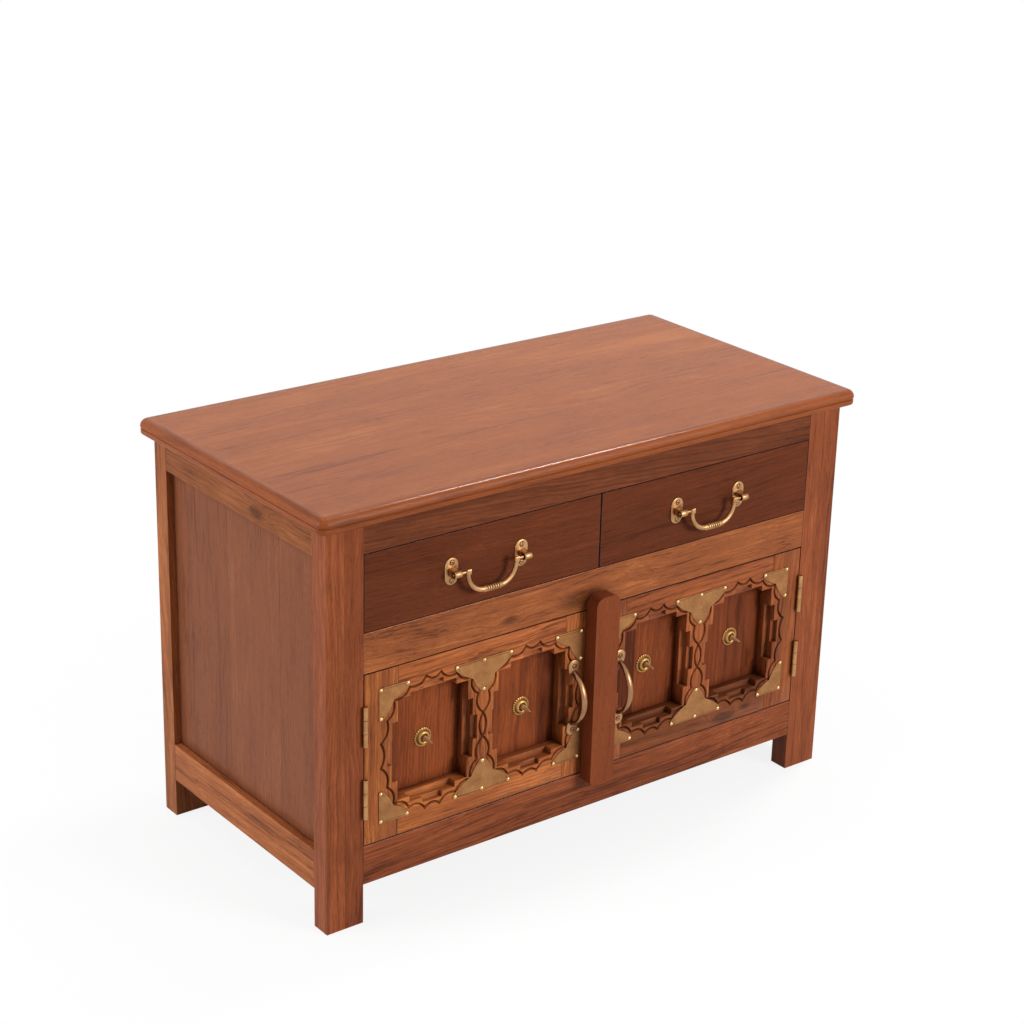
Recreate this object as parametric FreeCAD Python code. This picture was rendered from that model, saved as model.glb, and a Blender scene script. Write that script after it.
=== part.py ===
"""A low carved storage cabinet: two drawers over two panelled doors with brass fittings.

Built from 57 mm boards as a cabinet maker would: four posts, tenoned rails, floating panels,
housed drawers on wooden runners, and framed doors on butt hinges.
Lengths are millimetres. X runs across the front, the front faces -Y and Z points up.
The work is laid out with Y = 0 on the front faces of the posts, and moved at the end so that
the origin lies under the middle of the whole cabinet.
"""
import FreeCAD
import Part
import math
import os

Vector = FreeCAD.Vector

# Carcass: outer sizes and the heights of its openings
frame_width = 881.0
frame_depth = 424.0
post_width = 57.0
post_depth = 30.0
leg_clearance = 57.0
bottom_rail_height = 57.0
door_opening_height = 249.0
middle_rail_height = 57.0
drawer_opening_height = 109.0
top_rail_height = 44.0
front_rail_depth = 25.0
side_rail_depth = 26.0
back_rail_depth = 25.0

# Top slab: a rounded nose over a slightly narrower band on all four edges
slab_thickness = 22.0
slab_overhang = 17.0
slab_nose_thickness = 13.0
slab_nose_round = 10.5
slab_band_inset = 0.5
slab_band_round = 4.0
slab_corner_round = 6.0
dowel_radius = 5.0
dowel_in_slab = 12.0
dowel_in_post = 26.0

# Joinery
tenon_thickness = 8.0
tenon_length = 18.0
tenon_shoulder = 10.0
joint_clearance = 0.1
panel_groove_depth = 8.0
panel_edge_gap = 0.5
side_panel_recess = 11.0
side_panel_thickness = 8.0
back_panel_recess = 6.0
back_panel_thickness = 6.0
floor_thickness = 12.0
floor_drop = 2.0
floor_groove_depth = 6.0

# Drawer runners and divider inside
runner_width = 33.0
runner_height = 20.0
guide_width = 17.0
guide_height = 25.0
centre_runner_width = 90.0
runner_tenon_width = 20.0
runner_tenon_length = 10.0
divider_thickness = 18.0
divider_tongue = 5.0

# Drawers
drawer_gap = 1.0
drawer_front_thickness = 20.0
drawer_length = 360.0
drawer_side_height = 92.0
drawer_side_thickness = 12.0
drawer_side_housing = 8.0
drawer_back_thickness = 12.0
drawer_back_housing = 5.0
drawer_back_setback = 8.0
drawer_bottom_thickness = 6.0
drawer_bottom_groove = 5.0
drawer_bottom_lift = 9.0
drawer_running_gap = 0.4
drawer_side_gap = 1.0

# Bail handles on the drawers
bail_plate_spacing = 113.0
bail_plate_width = 20.0
bail_plate_height = 38.0
bail_plate_thickness = 2.0
boss_width = 11.5
boss_radius = 5.0
bail_pivot_reach = 13.5
bail_pin_radius = 2.0
bail_half_span = 39.0
bail_drop = 30.5
bail_corner_radius = 27.0
bail_bar_radius = 3.25
bail_block_size = 8.0
grip_length = 26.0
grip_radius = 5.0
grip_groove_count = 6
grip_groove_depth = 1.8
pin_running_clearance = 0.05
pin_end_reach = 1.0

# Doors
door_gap = 1.5
meeting_gap = 1.5
meeting_bevel = 2.5
door_thickness = 30.0
door_stile_width = 52.5
door_rail_height = 51.0
muntin_width = 51.0
door_panel_thickness = 6.0
door_panel_rebate = 8.0

# Stepped carving round each door panel: two shallow steps in the middle of every side
step_one_reach = 8.5
step_one_depth = 13.0
step_one_width = 73.5
step_one_height = 87.0
step_two_reach = 7.5
step_two_depth = 6.5
step_two_width = 31.5
step_two_height = 35.5

# Astragal: the batten on the right door that covers the joint between the doors
astragal_width = 41.0
astragal_offset = 1.5
astragal_thickness = 22.5
astragal_above = 22.5
astragal_below = 12.5
astragal_top_round = 13.0
astragal_bottom_round = 8.0
astragal_clearance = 0.5

# Butt hinges, with knuckles standing in front of the joint
hinge_length = 57.0
hinge_leaf_thickness = 1.6
hinge_leaf_depth = 24.0
knuckle_radius = 3.5
knuckle_standoff = 0.1
knuckle_end_gap = 0.3
hinge_pin_radius = 1.6
hinge_upper_drop = 44.0
hinge_lower_rise = 43.0

# Brass plates on the doors, held by round-headed nails
plate_thickness = 1.0
nail_column_inset = 25.5
nail_row_inset = 27.5
nail_pitch_across = 42.0
nail_pitch_down = 41.0
centre_nail_pitch = 44.5
centre_nail_drop = 42.0
plate_margin = 3.0
corner_cusp_across = 20.5
corner_cusp_down = 18.0
centre_cusp_across = 18.5
centre_cusp_down = 23.0
plate_lobe_bulge = 1.8
nail_head_radius = 3.0
nail_head_height = 1.7
nail_shank_radius = 1.0
nail_length = 12.0
nail_hole_clearance = 0.1

# Rosette studs with a spike, one in each panel; set by eye, so the doors' heights differ
left_stud_rise = -5.0
right_stud_rise = 0.5
rosette_radius = 14.0
rosette_height = 5.5
rosette_rim = 1.4
spike_radius = 3.6
spike_length = 17.0
stud_shank_radius = 1.6
stud_shank_length = 5.0

# Bow handles on the doors; set by eye, so their places on the doors differ
left_bow_inset = 38.0
left_bow_rise = -2.0
right_bow_inset = 42.5
right_bow_rise = -8.0
bow_spacing = 96.0
bow_span = 80.0
bow_pad_width = 19.0
bow_neck_width = 16.0
bow_neck_length = 10.5
bow_pad_thickness = 3.0
bow_pad_clearance = 0.5
bow_reach = 27.0
bow_bar_width = 11.0
bow_bar_depth = 8.0

# Heights and half widths that follow from the sizes above
bottom_rail_top = leg_clearance + bottom_rail_height
middle_rail_base = bottom_rail_top + door_opening_height
middle_rail_top = middle_rail_base + middle_rail_height
top_rail_base = middle_rail_top + drawer_opening_height
post_height = top_rail_base + top_rail_height
half_width = frame_width / 2
half_opening = half_width - post_width
post_inner_back = frame_depth - post_depth
runner_rail_back = frame_depth - back_panel_recess - back_panel_thickness - panel_edge_gap
runner_rail_front = runner_rail_back - back_rail_depth
hinge_axis_x = -half_opening + door_gap / 2
hinge_axis_y = -(knuckle_radius + knuckle_standoff)
front_reach = max(bow_reach + bow_bar_depth / 2, astragal_thickness, slab_overhang)
whole_depth_middle = (frame_depth + slab_overhang - front_reach) / 2


def box(x0, x1, y0, y1, z0, z1):
    """A box between two corners."""
    return Part.makeBox(x1 - x0, y1 - y0, z1 - z0, Vector(x0, y0, z0))


def fuse(shapes):
    """One solid out of touching or overlapping solids."""
    return shapes[0].multiFuse(shapes[1:]).removeSplitter()


def cut(shape, tools):
    """A solid less all the tools."""
    return shape.cut(Part.makeCompound(tools)) if tools else shape


def mirrored(shape):
    """The same piece on the other side of the cabinet."""
    return shape.mirror(Vector(0, 0, 0), Vector(1, 0, 0))


def rod(start, direction, radius, length):
    """A round rod from a point."""
    return Part.makeCylinder(radius, length, start, direction)


def polygon_wire(points):
    """A closed wire through points, each paired with None or a point that its arc passes."""
    edges = []
    previous = points[-1][0]
    for point, through in points:
        if through is None:
            edges.append(Part.LineSegment(previous, point).toShape())
        else:
            edges.append(Part.Arc(previous, through, point).toShape())
        previous = point
    return Part.Wire(edges)


def export(name, shape):
    """Moves a piece into the cabinet's own frame and writes it."""
    placed = shape.copy()
    placed.translate(Vector(0, -whole_depth_middle, 0))
    placed.exportStep("parts/" + name + ".step")


def export_pair(name, shape):
    """Writes a left piece and its mirror image on the right."""
    export("left_" + name, shape)
    export("right_" + name, mirrored(shape))


class Rail:
    """A straight rail or stile with a tenon on both ends, along X, Y or Z."""

    def __init__(self, axis, low, high, tenon_middle):
        self.axis = axis
        self.low = low
        self.high = high
        self.tenon_middle = tenon_middle

    def tenons(self, grow=0.0):
        """Both tenons, or the mortises for them when they are grown by a clearance."""
        half = tenon_thickness / 2 + grow
        result = []
        for end in (self.low[self.axis], self.high[self.axis]):
            outward = -1 if end == self.low[self.axis] else 1
            low = [value + tenon_shoulder - grow for value in self.low]
            high = [value - tenon_shoulder + grow for value in self.high]
            thin = 0 if self.axis == 1 else 1
            low[thin] = self.tenon_middle - half
            high[thin] = self.tenon_middle + half
            reach = end + outward * (tenon_length + grow)
            low[self.axis] = min(end, reach)
            high[self.axis] = max(end, reach)
            result.append(box(low[0], high[0], low[1], high[1], low[2], high[2]))
        return result

    def mortises(self):
        """The holes that take the tenons."""
        return self.tenons(grow=joint_clearance)

    def body(self):
        """The rail between its shoulders."""
        return box(self.low[0], self.high[0], self.low[1], self.high[1], self.low[2], self.high[2])

    def solid(self):
        """The rail with its tenons."""
        return fuse([self.body()] + self.tenons())


# Rails of the carcass
front_tenon_middle = front_rail_depth / 2
side_tenon_middle = -half_width + side_panel_recess + side_panel_thickness / 2


def front_rail(base, top):
    """A rail between the front posts, flush with their faces."""
    low = (-half_opening, 0, base)
    high = (half_opening, front_rail_depth, top)
    return Rail(0, low, high, front_tenon_middle)


def back_rail(front, back, base, top):
    """A rail between the back posts."""
    low = (-half_opening, front, base)
    high = (half_opening, back, top)
    return Rail(0, low, high, (front + back) / 2)


def side_rail(base, top):
    """A rail between the left posts, flush with their outer faces."""
    low = (-half_width, post_depth, base)
    high = (-half_width + side_rail_depth, post_inner_back, top)
    return Rail(1, low, high, side_tenon_middle)


front_bottom = front_rail(leg_clearance, bottom_rail_top)
front_middle = front_rail(middle_rail_base, middle_rail_top)
front_top = front_rail(top_rail_base, post_height)
back_face_front = frame_depth - back_rail_depth
back_bottom = back_rail(back_face_front, frame_depth, leg_clearance, bottom_rail_top)
back_runner = back_rail(runner_rail_front, runner_rail_back, middle_rail_base, middle_rail_top)
back_top = back_rail(back_face_front, frame_depth, top_rail_base, post_height)
side_bottom = side_rail(leg_clearance, bottom_rail_top)
side_top = side_rail(top_rail_base, post_height)


def side_panel(gap):
    """The left side panel, or with no gap the grooves that hold it."""
    depth = panel_groove_depth - gap
    slack = joint_clearance if gap == 0 else 0.0
    x0 = -half_width + side_panel_recess
    return box(x0 - slack, x0 + side_panel_thickness + slack,
               post_depth - depth, post_inner_back + depth,
               bottom_rail_top - depth, top_rail_base + depth)


def back_panel(gap):
    """The back panel, or with no gap the grooves that hold it."""
    depth = panel_groove_depth - gap
    slack = joint_clearance if gap == 0 else 0.0
    y1 = frame_depth - back_panel_recess
    return box(-half_opening - depth, half_opening + depth,
               y1 - back_panel_thickness - slack, y1 + slack,
               bottom_rail_top - depth, top_rail_base + depth)


def cupboard_floor(clearance):
    """The cupboard floor with its corners notched round the posts, or its grooves."""
    top = bottom_rail_top - floor_drop
    side = half_width - side_rail_depth - panel_edge_gap
    depth = floor_groove_depth - (0.0 if clearance else panel_edge_gap)
    plate = box(-side, side, front_rail_depth - depth, back_face_front + depth,
                top - floor_thickness - clearance, top + clearance)
    if clearance:
        return plate
    corner_x = half_opening - panel_edge_gap
    front_y = post_depth + panel_edge_gap
    back_y = post_inner_back - panel_edge_gap
    corners = []
    for x0, x1 in ((-half_width, -corner_x), (corner_x, half_width)):
        corners.append(box(x0, x1, 0, front_y, 0, post_height))
        corners.append(box(x0, x1, back_y, frame_depth, 0, post_height))
    return cut(plate, corners)


# Hinges: two on the left door, mirrored for the right
hinge_bases = (bottom_rail_top + hinge_lower_rise,
               middle_rail_base - hinge_upper_drop - hinge_length)


def hinge_leaf(base, on_post):
    """One leaf: the post's carries the outer knuckles, the door's the middle one."""
    third = hinge_length / 3
    inner = hinge_axis_x - door_gap / 2 if on_post else hinge_axis_x + door_gap / 2
    outer = inner - hinge_leaf_thickness if on_post else inner + hinge_leaf_thickness
    x0 = min(inner, outer)
    x1 = max(inner, outer)
    spans = ((0, third), (2 * third, hinge_length)) if on_post else ((third, 2 * third),)
    pieces = [box(x0, x1, 0, hinge_leaf_depth, base, base + hinge_length)]
    for low, high in spans:
        z0 = base + low + (knuckle_end_gap if low else 0)
        z1 = base + high - (knuckle_end_gap if high < hinge_length else 0)
        pieces.append(box(x0, x1, hinge_axis_y, 0, z0, z1))
        centre = Vector(hinge_axis_x, hinge_axis_y, z0)
        pieces.append(rod(centre, Vector(0, 0, 1), knuckle_radius, z1 - z0))
    bore_start = Vector(hinge_axis_x, hinge_axis_y, base)
    bore_radius = hinge_pin_radius + pin_running_clearance
    bore = rod(bore_start, Vector(0, 0, 1), bore_radius, hinge_length)
    return cut(fuse(pieces), [bore])


def leaf_recess(base, on_post):
    """The shallow mortise that a leaf lies in."""
    grow = joint_clearance
    if on_post:
        x0 = -half_opening - hinge_leaf_thickness - grow
        x1 = -half_opening
    else:
        x0 = -half_opening + door_gap
        x1 = x0 + hinge_leaf_thickness + grow
    return box(x0, x1, 0, hinge_leaf_depth + grow, base - grow, base + hinge_length + grow)


def hinge_pin(base):
    """The pin through all three knuckles."""
    start = Vector(hinge_axis_x, hinge_axis_y, base)
    return rod(start, Vector(0, 0, 1), hinge_pin_radius, hinge_length)


# Posts and the slab on them
def dowel(x, y, grow):
    """A dowel that locates the slab on a post."""
    start = Vector(x, y, post_height - dowel_in_post - grow)
    length = dowel_in_post + dowel_in_slab + 2 * grow
    return rod(start, Vector(0, 0, 1), dowel_radius + grow, length)


def dowels(grow=0.0):
    """One dowel in the middle of each post."""
    middle_x = half_width - post_width / 2
    ys = (post_depth / 2, frame_depth - post_depth / 2)
    return [dowel(x, y, grow) for x in (-middle_x, middle_x) for y in ys]


def post(is_front):
    """A left post with the mortises, grooves and hinge recesses that it needs."""
    y0 = 0 if is_front else post_inner_back
    shape = box(-half_width, -half_opening, y0, y0 + post_depth, 0, post_height)
    tools = [side_panel(0.0)] + dowels(joint_clearance)
    for rail in (side_bottom, side_top):
        tools += rail.mortises()
    if is_front:
        rails = (front_bottom, front_middle, front_top)
        tools += [leaf_recess(base, True) for base in hinge_bases]
    else:
        rails = (back_bottom, back_runner, back_top)
        tools.append(back_panel(0.0))
    for rail in rails:
        tools += rail.mortises()
    return cut(shape, tools)


def rounded_board(reach_out, base, top, radius, round_top):
    """A board over the whole frame with all its top or all its bottom edges rounded."""
    reach = half_width + reach_out
    board = box(-reach, reach, -reach_out, frame_depth + reach_out, base, top)
    middle = (base + top) / 2
    if round_top:
        edges = [edge for edge in board.Edges if edge.BoundBox.ZMin > middle]
    else:
        edges = [edge for edge in board.Edges if edge.BoundBox.ZMax < middle]
    return board.makeFillet(radius, edges)


def slab():
    """The top: a nose rounded above, under it a band rounded below, and softened corners."""
    top = post_height + slab_thickness
    nose_base = top - slab_nose_thickness
    nose = rounded_board(slab_overhang, nose_base, top, slab_nose_round, True)
    band = rounded_board(slab_overhang - slab_band_inset, post_height, nose_base,
                         slab_band_round, False)
    reach = half_width + slab_overhang
    blank = box(-reach, reach, -slab_overhang, frame_depth + slab_overhang, post_height, top)
    uprights = [edge for edge in blank.Edges if edge.BoundBox.ZLength > slab_thickness / 2]
    outline = blank.makeFillet(slab_corner_round, uprights)
    return cut(fuse([nose, band]).common(outline), dowels(joint_clearance))


# Drawer runners
runner_base = middle_rail_top - runner_height
runner_tenon_base = middle_rail_top - (runner_height + tenon_thickness) / 2


def runner_tenons(middle_x, grow=0.0):
    """The tenons of one runner in the middle rail and the runner rail behind."""
    x0 = middle_x - runner_tenon_width / 2 - grow
    x1 = middle_x + runner_tenon_width / 2 + grow
    z0 = runner_tenon_base - grow
    z1 = runner_tenon_base + tenon_thickness + grow
    reach = runner_tenon_length + grow
    front = box(x0, x1, front_rail_depth - reach, front_rail_depth, z0, z1)
    back = box(x0, x1, runner_rail_front, runner_rail_front + reach, z0, z1)
    return [front, back]


side_runner_middle = -half_opening + runner_width / 2


def side_runner():
    """The left runner with the guide that keeps the drawer straight."""
    x0 = -half_opening
    bed = box(x0, x0 + runner_width, front_rail_depth, runner_rail_front,
              runner_base, middle_rail_top)
    guide = box(x0 - guide_width, x0, post_depth + panel_edge_gap, runner_rail_front,
                runner_base, middle_rail_top + guide_height)
    return fuse([bed, guide] + runner_tenons(side_runner_middle))


def divider_tongue_box(grow):
    """The tongue under the divider, or the housing for it."""
    half = divider_thickness / 2 + grow
    return box(-half, half, front_rail_depth, runner_rail_front,
               middle_rail_top - divider_tongue - grow, middle_rail_top)


def centre_runner():
    """The wide runner in the middle, which carries both drawers and the divider."""
    half = centre_runner_width / 2
    bed = box(-half, half, front_rail_depth, runner_rail_front, runner_base, middle_rail_top)
    return cut(fuse([bed] + runner_tenons(0.0)), [divider_tongue_box(joint_clearance)])


def divider():
    """The upright board between the drawers, behind their fronts."""
    half = divider_thickness / 2
    board = box(-half, half, front_rail_depth, back_face_front, middle_rail_top, post_height)
    return fuse([board, divider_tongue_box(0.0)])


def all_runner_mortises():
    """Mortises in the middle rail and the runner rail for the three runners."""
    tools = []
    for middle in (side_runner_middle, 0.0, -side_runner_middle):
        tools += runner_tenons(middle, joint_clearance)
    return tools


def export_carcass():
    """Posts, rails, panels, slab, runners and the fixed halves of the hinges."""
    floor_groove = cupboard_floor(joint_clearance)
    panel_groove = back_panel(0.0)
    side_groove = side_panel(0.0)
    export("top_slab", slab())
    export("top_dowels", Part.makeCompound(dowels()))
    export_pair("front_post", post(True))
    export_pair("back_post", post(False))
    export("front_bottom_rail", cut(front_bottom.solid(), [floor_groove]))
    export("front_middle_rail", cut(front_middle.solid(), all_runner_mortises()))
    export("front_top_rail", front_top.solid())
    export("back_bottom_rail", cut(back_bottom.solid(), [floor_groove, panel_groove]))
    export("back_runner_rail", cut(back_runner.solid(), all_runner_mortises()))
    export("back_top_rail", cut(back_top.solid(), [panel_groove]))
    export_pair("side_bottom_rail", cut(side_bottom.solid(), [side_groove]))
    export_pair("side_top_rail", cut(side_top.solid(), [side_groove]))
    export_pair("side_panel", side_panel(panel_edge_gap))
    export("back_panel", back_panel(panel_edge_gap))
    export("cupboard_floor", cupboard_floor(0.0))
    runner = side_runner()
    export("drawer_runners", Part.makeCompound([runner, centre_runner(), mirrored(runner)]))
    export("drawer_divider", divider())
    leaves = Part.makeCompound([hinge_leaf(base, True) for base in hinge_bases])
    export_pair("post_hinge_leaves", leaves)
    pins = [hinge_pin(base) for base in hinge_bases]
    export("hinge_pins", Part.makeCompound(pins + [mirrored(pin) for pin in pins]))


# Left drawer
drawer_x0 = -half_opening + drawer_gap
drawer_x1 = -drawer_gap
drawer_z0 = middle_rail_top + drawer_gap
drawer_z1 = top_rail_base - drawer_gap
drawer_middle_x = (drawer_x0 + drawer_x1) / 2
drawer_middle_z = (drawer_z0 + drawer_z1) / 2
drawer_box_x0 = -half_opening + drawer_side_gap
drawer_box_x1 = -divider_thickness / 2 - drawer_side_gap
drawer_box_z0 = middle_rail_top + drawer_running_gap
drawer_box_z1 = drawer_box_z0 + drawer_side_height
drawer_bottom_z0 = drawer_box_z0 + drawer_bottom_lift
drawer_bottom_z1 = drawer_bottom_z0 + drawer_bottom_thickness
drawer_back_y1 = drawer_length - drawer_back_setback
drawer_back_y0 = drawer_back_y1 - drawer_back_thickness


def drawer_sides(grow=0.0):
    """Both drawer sides as plain boards, or the housings for their front ends."""
    y0 = drawer_front_thickness - drawer_side_housing - grow
    result = []
    for x0 in (drawer_box_x0, drawer_box_x1 - drawer_side_thickness):
        x1 = x0 + drawer_side_thickness
        result.append(box(x0 - grow, x1 + grow, y0, drawer_length,
                          drawer_box_z0 - grow, drawer_box_z1 + grow))
    return result


def drawer_back(grow=0.0):
    """The drawer's back board, or the housings for its ends."""
    reach = drawer_side_thickness - drawer_back_housing - grow
    return box(drawer_box_x0 + reach, drawer_box_x1 - reach,
               drawer_back_y0 - grow, drawer_back_y1 + grow,
               drawer_bottom_z1, drawer_box_z1 + grow)


def drawer_bottom(grow=0.0):
    """The bottom board, which slides in under the back, or the grooves for it."""
    reach = drawer_side_thickness - drawer_bottom_groove - grow
    slack = 0.0 if grow else panel_edge_gap
    return box(drawer_box_x0 + reach + slack, drawer_box_x1 - reach - slack,
               drawer_front_thickness - drawer_bottom_groove - grow + slack, drawer_length,
               drawer_bottom_z0 - grow, drawer_bottom_z1 + grow)


def export_drawers():
    """Fronts, sides, backs and bottoms of both drawers."""
    groove = drawer_bottom(joint_clearance)
    front = box(drawer_x0, drawer_x1, 0, drawer_front_thickness, drawer_z0, drawer_z1)
    export_pair("drawer_front", cut(front, drawer_sides(joint_clearance) + [groove]))
    sides = [cut(side, [groove, drawer_back(joint_clearance)]) for side in drawer_sides()]
    export_pair("drawer_sides", Part.makeCompound(sides))
    export_pair("drawer_back", drawer_back())
    export_pair("drawer_bottom", drawer_bottom())


# Bail handles
def bail_plate(middle_x):
    """A back plate with round ends and a bored boss for the bail's pin."""
    side = bail_plate_width / 2
    tip = bail_plate_height / 2
    straight = tip - side
    points = [(Vector(-side, 0, straight), None),
              (Vector(side, 0, straight), Vector(0, 0, tip)),
              (Vector(side, 0, -straight), None),
              (Vector(-side, 0, -straight), Vector(0, 0, -tip))]
    plate = Part.Face(polygon_wire(points)).extrude(Vector(0, -bail_plate_thickness, 0))
    half = boss_width / 2
    block = box(-half, half, -bail_pivot_reach, 0, -boss_radius, boss_radius)
    nose_start = Vector(-half, -bail_pivot_reach, 0)
    nose = rod(nose_start, Vector(1, 0, 0), boss_radius, boss_width)
    bore = rod(nose_start, Vector(1, 0, 0), bail_pin_radius + pin_running_clearance, boss_width)
    whole = cut(fuse([plate, block, nose]), [bore])
    whole.translate(Vector(middle_x, 0, drawer_middle_z))
    return whole


def bar_bend(side):
    """A quarter turn of the bail's bar, from one upright drop into the grip."""
    corner = bail_corner_radius
    start = Vector(side * bail_half_span, 0, corner - bail_drop)
    centre = start - Vector(side * corner, 0, 0)
    circle = Part.Circle(start, Vector(0, 0, 1), bail_bar_radius)
    face = Part.Face(Part.Wire(circle.toShape()))
    return face.revolve(centre, Vector(0, side, 0), 90)


def ringed_grip():
    """The thick middle of the bail, turned with V grooves between its rings."""
    pitch = grip_length / (grip_groove_count + 1)
    half_groove = pitch / 4
    outline = [(0, 0), (0, grip_radius)]
    for index in range(grip_groove_count):
        middle = pitch * (index + 1)
        outline.append((middle - half_groove, grip_radius))
        outline.append((middle, grip_radius - grip_groove_depth))
        outline.append((middle + half_groove, grip_radius))
    outline += [(grip_length, grip_radius), (grip_length, 0)]
    points = [(Vector(along - grip_length / 2, 0, out), None) for along, out in outline]
    grip = Part.Face(polygon_wire(points)).revolve(Vector(0, 0, 0), Vector(1, 0, 0), 360)
    grip.translate(Vector(0, 0, -bail_drop))
    return grip


def bail(middle_x):
    """The swinging bail: a U with a ringed grip, and pins that run out into the bosses."""
    pin_reach = (bail_plate_spacing + boss_width) / 2 + pin_end_reach
    half_block = bail_block_size / 2
    low_length = 2 * (bail_half_span - bail_corner_radius)
    low_start = Vector(bail_corner_radius - bail_half_span, 0, -bail_drop)
    pieces = [rod(low_start, Vector(1, 0, 0), bail_bar_radius, low_length), ringed_grip()]
    for side in (-1, 1):
        end = Vector(side * bail_half_span, 0, 0)
        pieces.append(bar_bend(side))
        drop = bail_drop - bail_corner_radius
        pieces.append(rod(end, Vector(0, 0, -1), bail_bar_radius, drop))
        pieces.append(rod(end, Vector(side, 0, 0), bail_pin_radius, pin_reach - bail_half_span))
        pieces.append(box(end.x - half_block, end.x + half_block, -half_block, half_block,
                          -half_block, half_block))
    whole = fuse(pieces)
    whole.translate(Vector(middle_x, -bail_pivot_reach, drawer_middle_z))
    return whole


def export_bails():
    """The handles on both drawers."""
    half = bail_plate_spacing / 2
    plates = [bail_plate(drawer_middle_x + side * half) for side in (-1, 1)]
    export_pair("bail_plates", Part.makeCompound(plates))
    export("left_bail", bail(drawer_middle_x))
    export("right_bail", bail(-drawer_middle_x))


# Left door
door_x0 = -half_opening + door_gap
door_x1 = -meeting_gap / 2
door_z0 = bottom_rail_top + door_gap
door_z1 = middle_rail_base - door_gap
door_middle_x = (door_x0 + door_x1) / 2
door_middle_z = (door_z0 + door_z1) / 2
stile_inner_left = door_x0 + door_stile_width
stile_inner_right = door_x1 - door_stile_width
muntin_x0 = door_middle_x - muntin_width / 2
muntin_x1 = door_middle_x + muntin_width / 2
opening_z0 = door_z0 + door_rail_height
opening_z1 = door_z1 - door_rail_height
openings = ((stile_inner_left, muntin_x0), (muntin_x1, stile_inner_right))
panel_front = door_thickness - door_panel_thickness
door_tenon_middle = door_thickness / 2


def stepped_carving(x0, x1):
    """The steps cut into the frame round one opening: two crossing bars at each depth."""
    middle_x = (x0 + x1) / 2
    middle_z = (opening_z0 + opening_z1) / 2
    tools = []
    steps = ((step_one_reach, step_one_depth, step_one_width, step_one_height),
             (step_one_reach + step_two_reach, step_two_depth, step_two_width, step_two_height))
    for reach, depth, width, height in steps:
        tools.append(box(x0 - reach, x1 + reach, 0, depth,
                         middle_z - height / 2, middle_z + height / 2))
        tools.append(box(middle_x - width / 2, middle_x + width / 2, 0, depth,
                         opening_z0 - reach, opening_z1 + reach))
    return tools


def panel_rebate(x0, x1, gap):
    """The rebate behind one opening, or with a gap the panel that lies in it."""
    reach = door_panel_rebate - gap
    return box(x0 - reach, x1 + reach, panel_front, door_thickness,
               opening_z0 - reach, opening_z1 + reach)


def plate_outline(corners):
    """A brass plate from corner points, with lobes that bulge towards the carving."""
    wire = polygon_wire(corners)
    return Part.Face(wire).extrude(Vector(0, -plate_thickness, 0))


def lobe(start, end, towards):
    """The middle of a lobe between two points, pushed a little towards a point."""
    middle = (start + end) / 2
    push = (towards - middle).normalize() * plate_lobe_bulge
    return middle + push


def corner_plate(sign_x, sign_z):
    """One corner plate and the places of its three nails."""
    nail_x = (door_x0 + nail_column_inset) if sign_x < 0 else (door_x1 - nail_column_inset)
    nail_z = (door_z0 + nail_row_inset) if sign_z < 0 else (door_z1 - nail_row_inset)

    def at(across, down):
        return Vector(nail_x - sign_x * across, 0, nail_z - sign_z * down)

    margin = plate_margin
    far_across = at(nail_pitch_across + margin, margin)
    cusp = at(corner_cusp_across, corner_cusp_down)
    far_down = at(margin, nail_pitch_down + margin)
    inside = at(nail_pitch_across, nail_pitch_down)
    points = [(at(-margin, -margin), None),
              (at(nail_pitch_across + margin, -margin), None),
              (far_across, None),
              (cusp, lobe(far_across, cusp, inside)),
              (far_down, lobe(cusp, far_down, inside)),
              (at(-margin, nail_pitch_down + margin), None)]
    nails = [at(0, 0), at(nail_pitch_across, 0), at(0, nail_pitch_down)]
    return plate_outline(points), nails


def centre_plate(sign_z):
    """The plate over one end of the muntin and the places of its four nails."""
    nail_z = (door_z0 + nail_row_inset) if sign_z < 0 else (door_z1 - nail_row_inset)

    def at(across, down):
        return Vector(door_middle_x + across, 0, nail_z - sign_z * down)

    margin = plate_margin
    end = centre_nail_pitch + margin
    tip = centre_nail_drop + margin
    inside_left = at(-centre_nail_pitch, centre_nail_drop)
    inside_right = at(centre_nail_pitch, centre_nail_drop)
    left_cusp = at(-centre_cusp_across, centre_cusp_down)
    right_cusp = at(centre_cusp_across, centre_cusp_down)
    points = [(at(-end, -margin), None),
              (at(end, -margin), None),
              (at(end, margin), None),
              (right_cusp, lobe(at(end, margin), right_cusp, inside_right)),
              (at(margin, tip), lobe(right_cusp, at(margin, tip), inside_right)),
              (at(-margin, tip), None),
              (left_cusp, lobe(at(-margin, tip), left_cusp, inside_left)),
              (at(-end, margin), lobe(left_cusp, at(-end, margin), inside_left))]
    nails = [at(-centre_nail_pitch, 0), at(0, 0), at(centre_nail_pitch, 0),
             at(0, centre_nail_drop)]
    return plate_outline(points), nails


def door_plates():
    """All six plates of a door and all their nails."""
    pairs = [corner_plate(sx, sz) for sx in (-1, 1) for sz in (-1, 1)]
    pairs += [centre_plate(sz) for sz in (-1, 1)]
    plates = [plate for plate, nails in pairs]
    places = [place for plate, nails in pairs for place in nails]
    return plates, places


def nail_hole(place):
    """The hole for one nail through its plate and into the wood."""
    start = Vector(place.x, -plate_thickness, place.z)
    radius = nail_shank_radius + nail_hole_clearance
    return rod(start, Vector(0, 1, 0), radius, nail_length + nail_hole_clearance)


def turned(points):
    """A turned piece from half its outline, with its head pointing out of the door."""
    whole = Part.Face(polygon_wire(points)).revolve(Vector(0, 0, 0), Vector(0, 0, 1), 360)
    whole.rotate(Vector(0, 0, 0), Vector(1, 0, 0), 90)
    return whole


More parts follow.
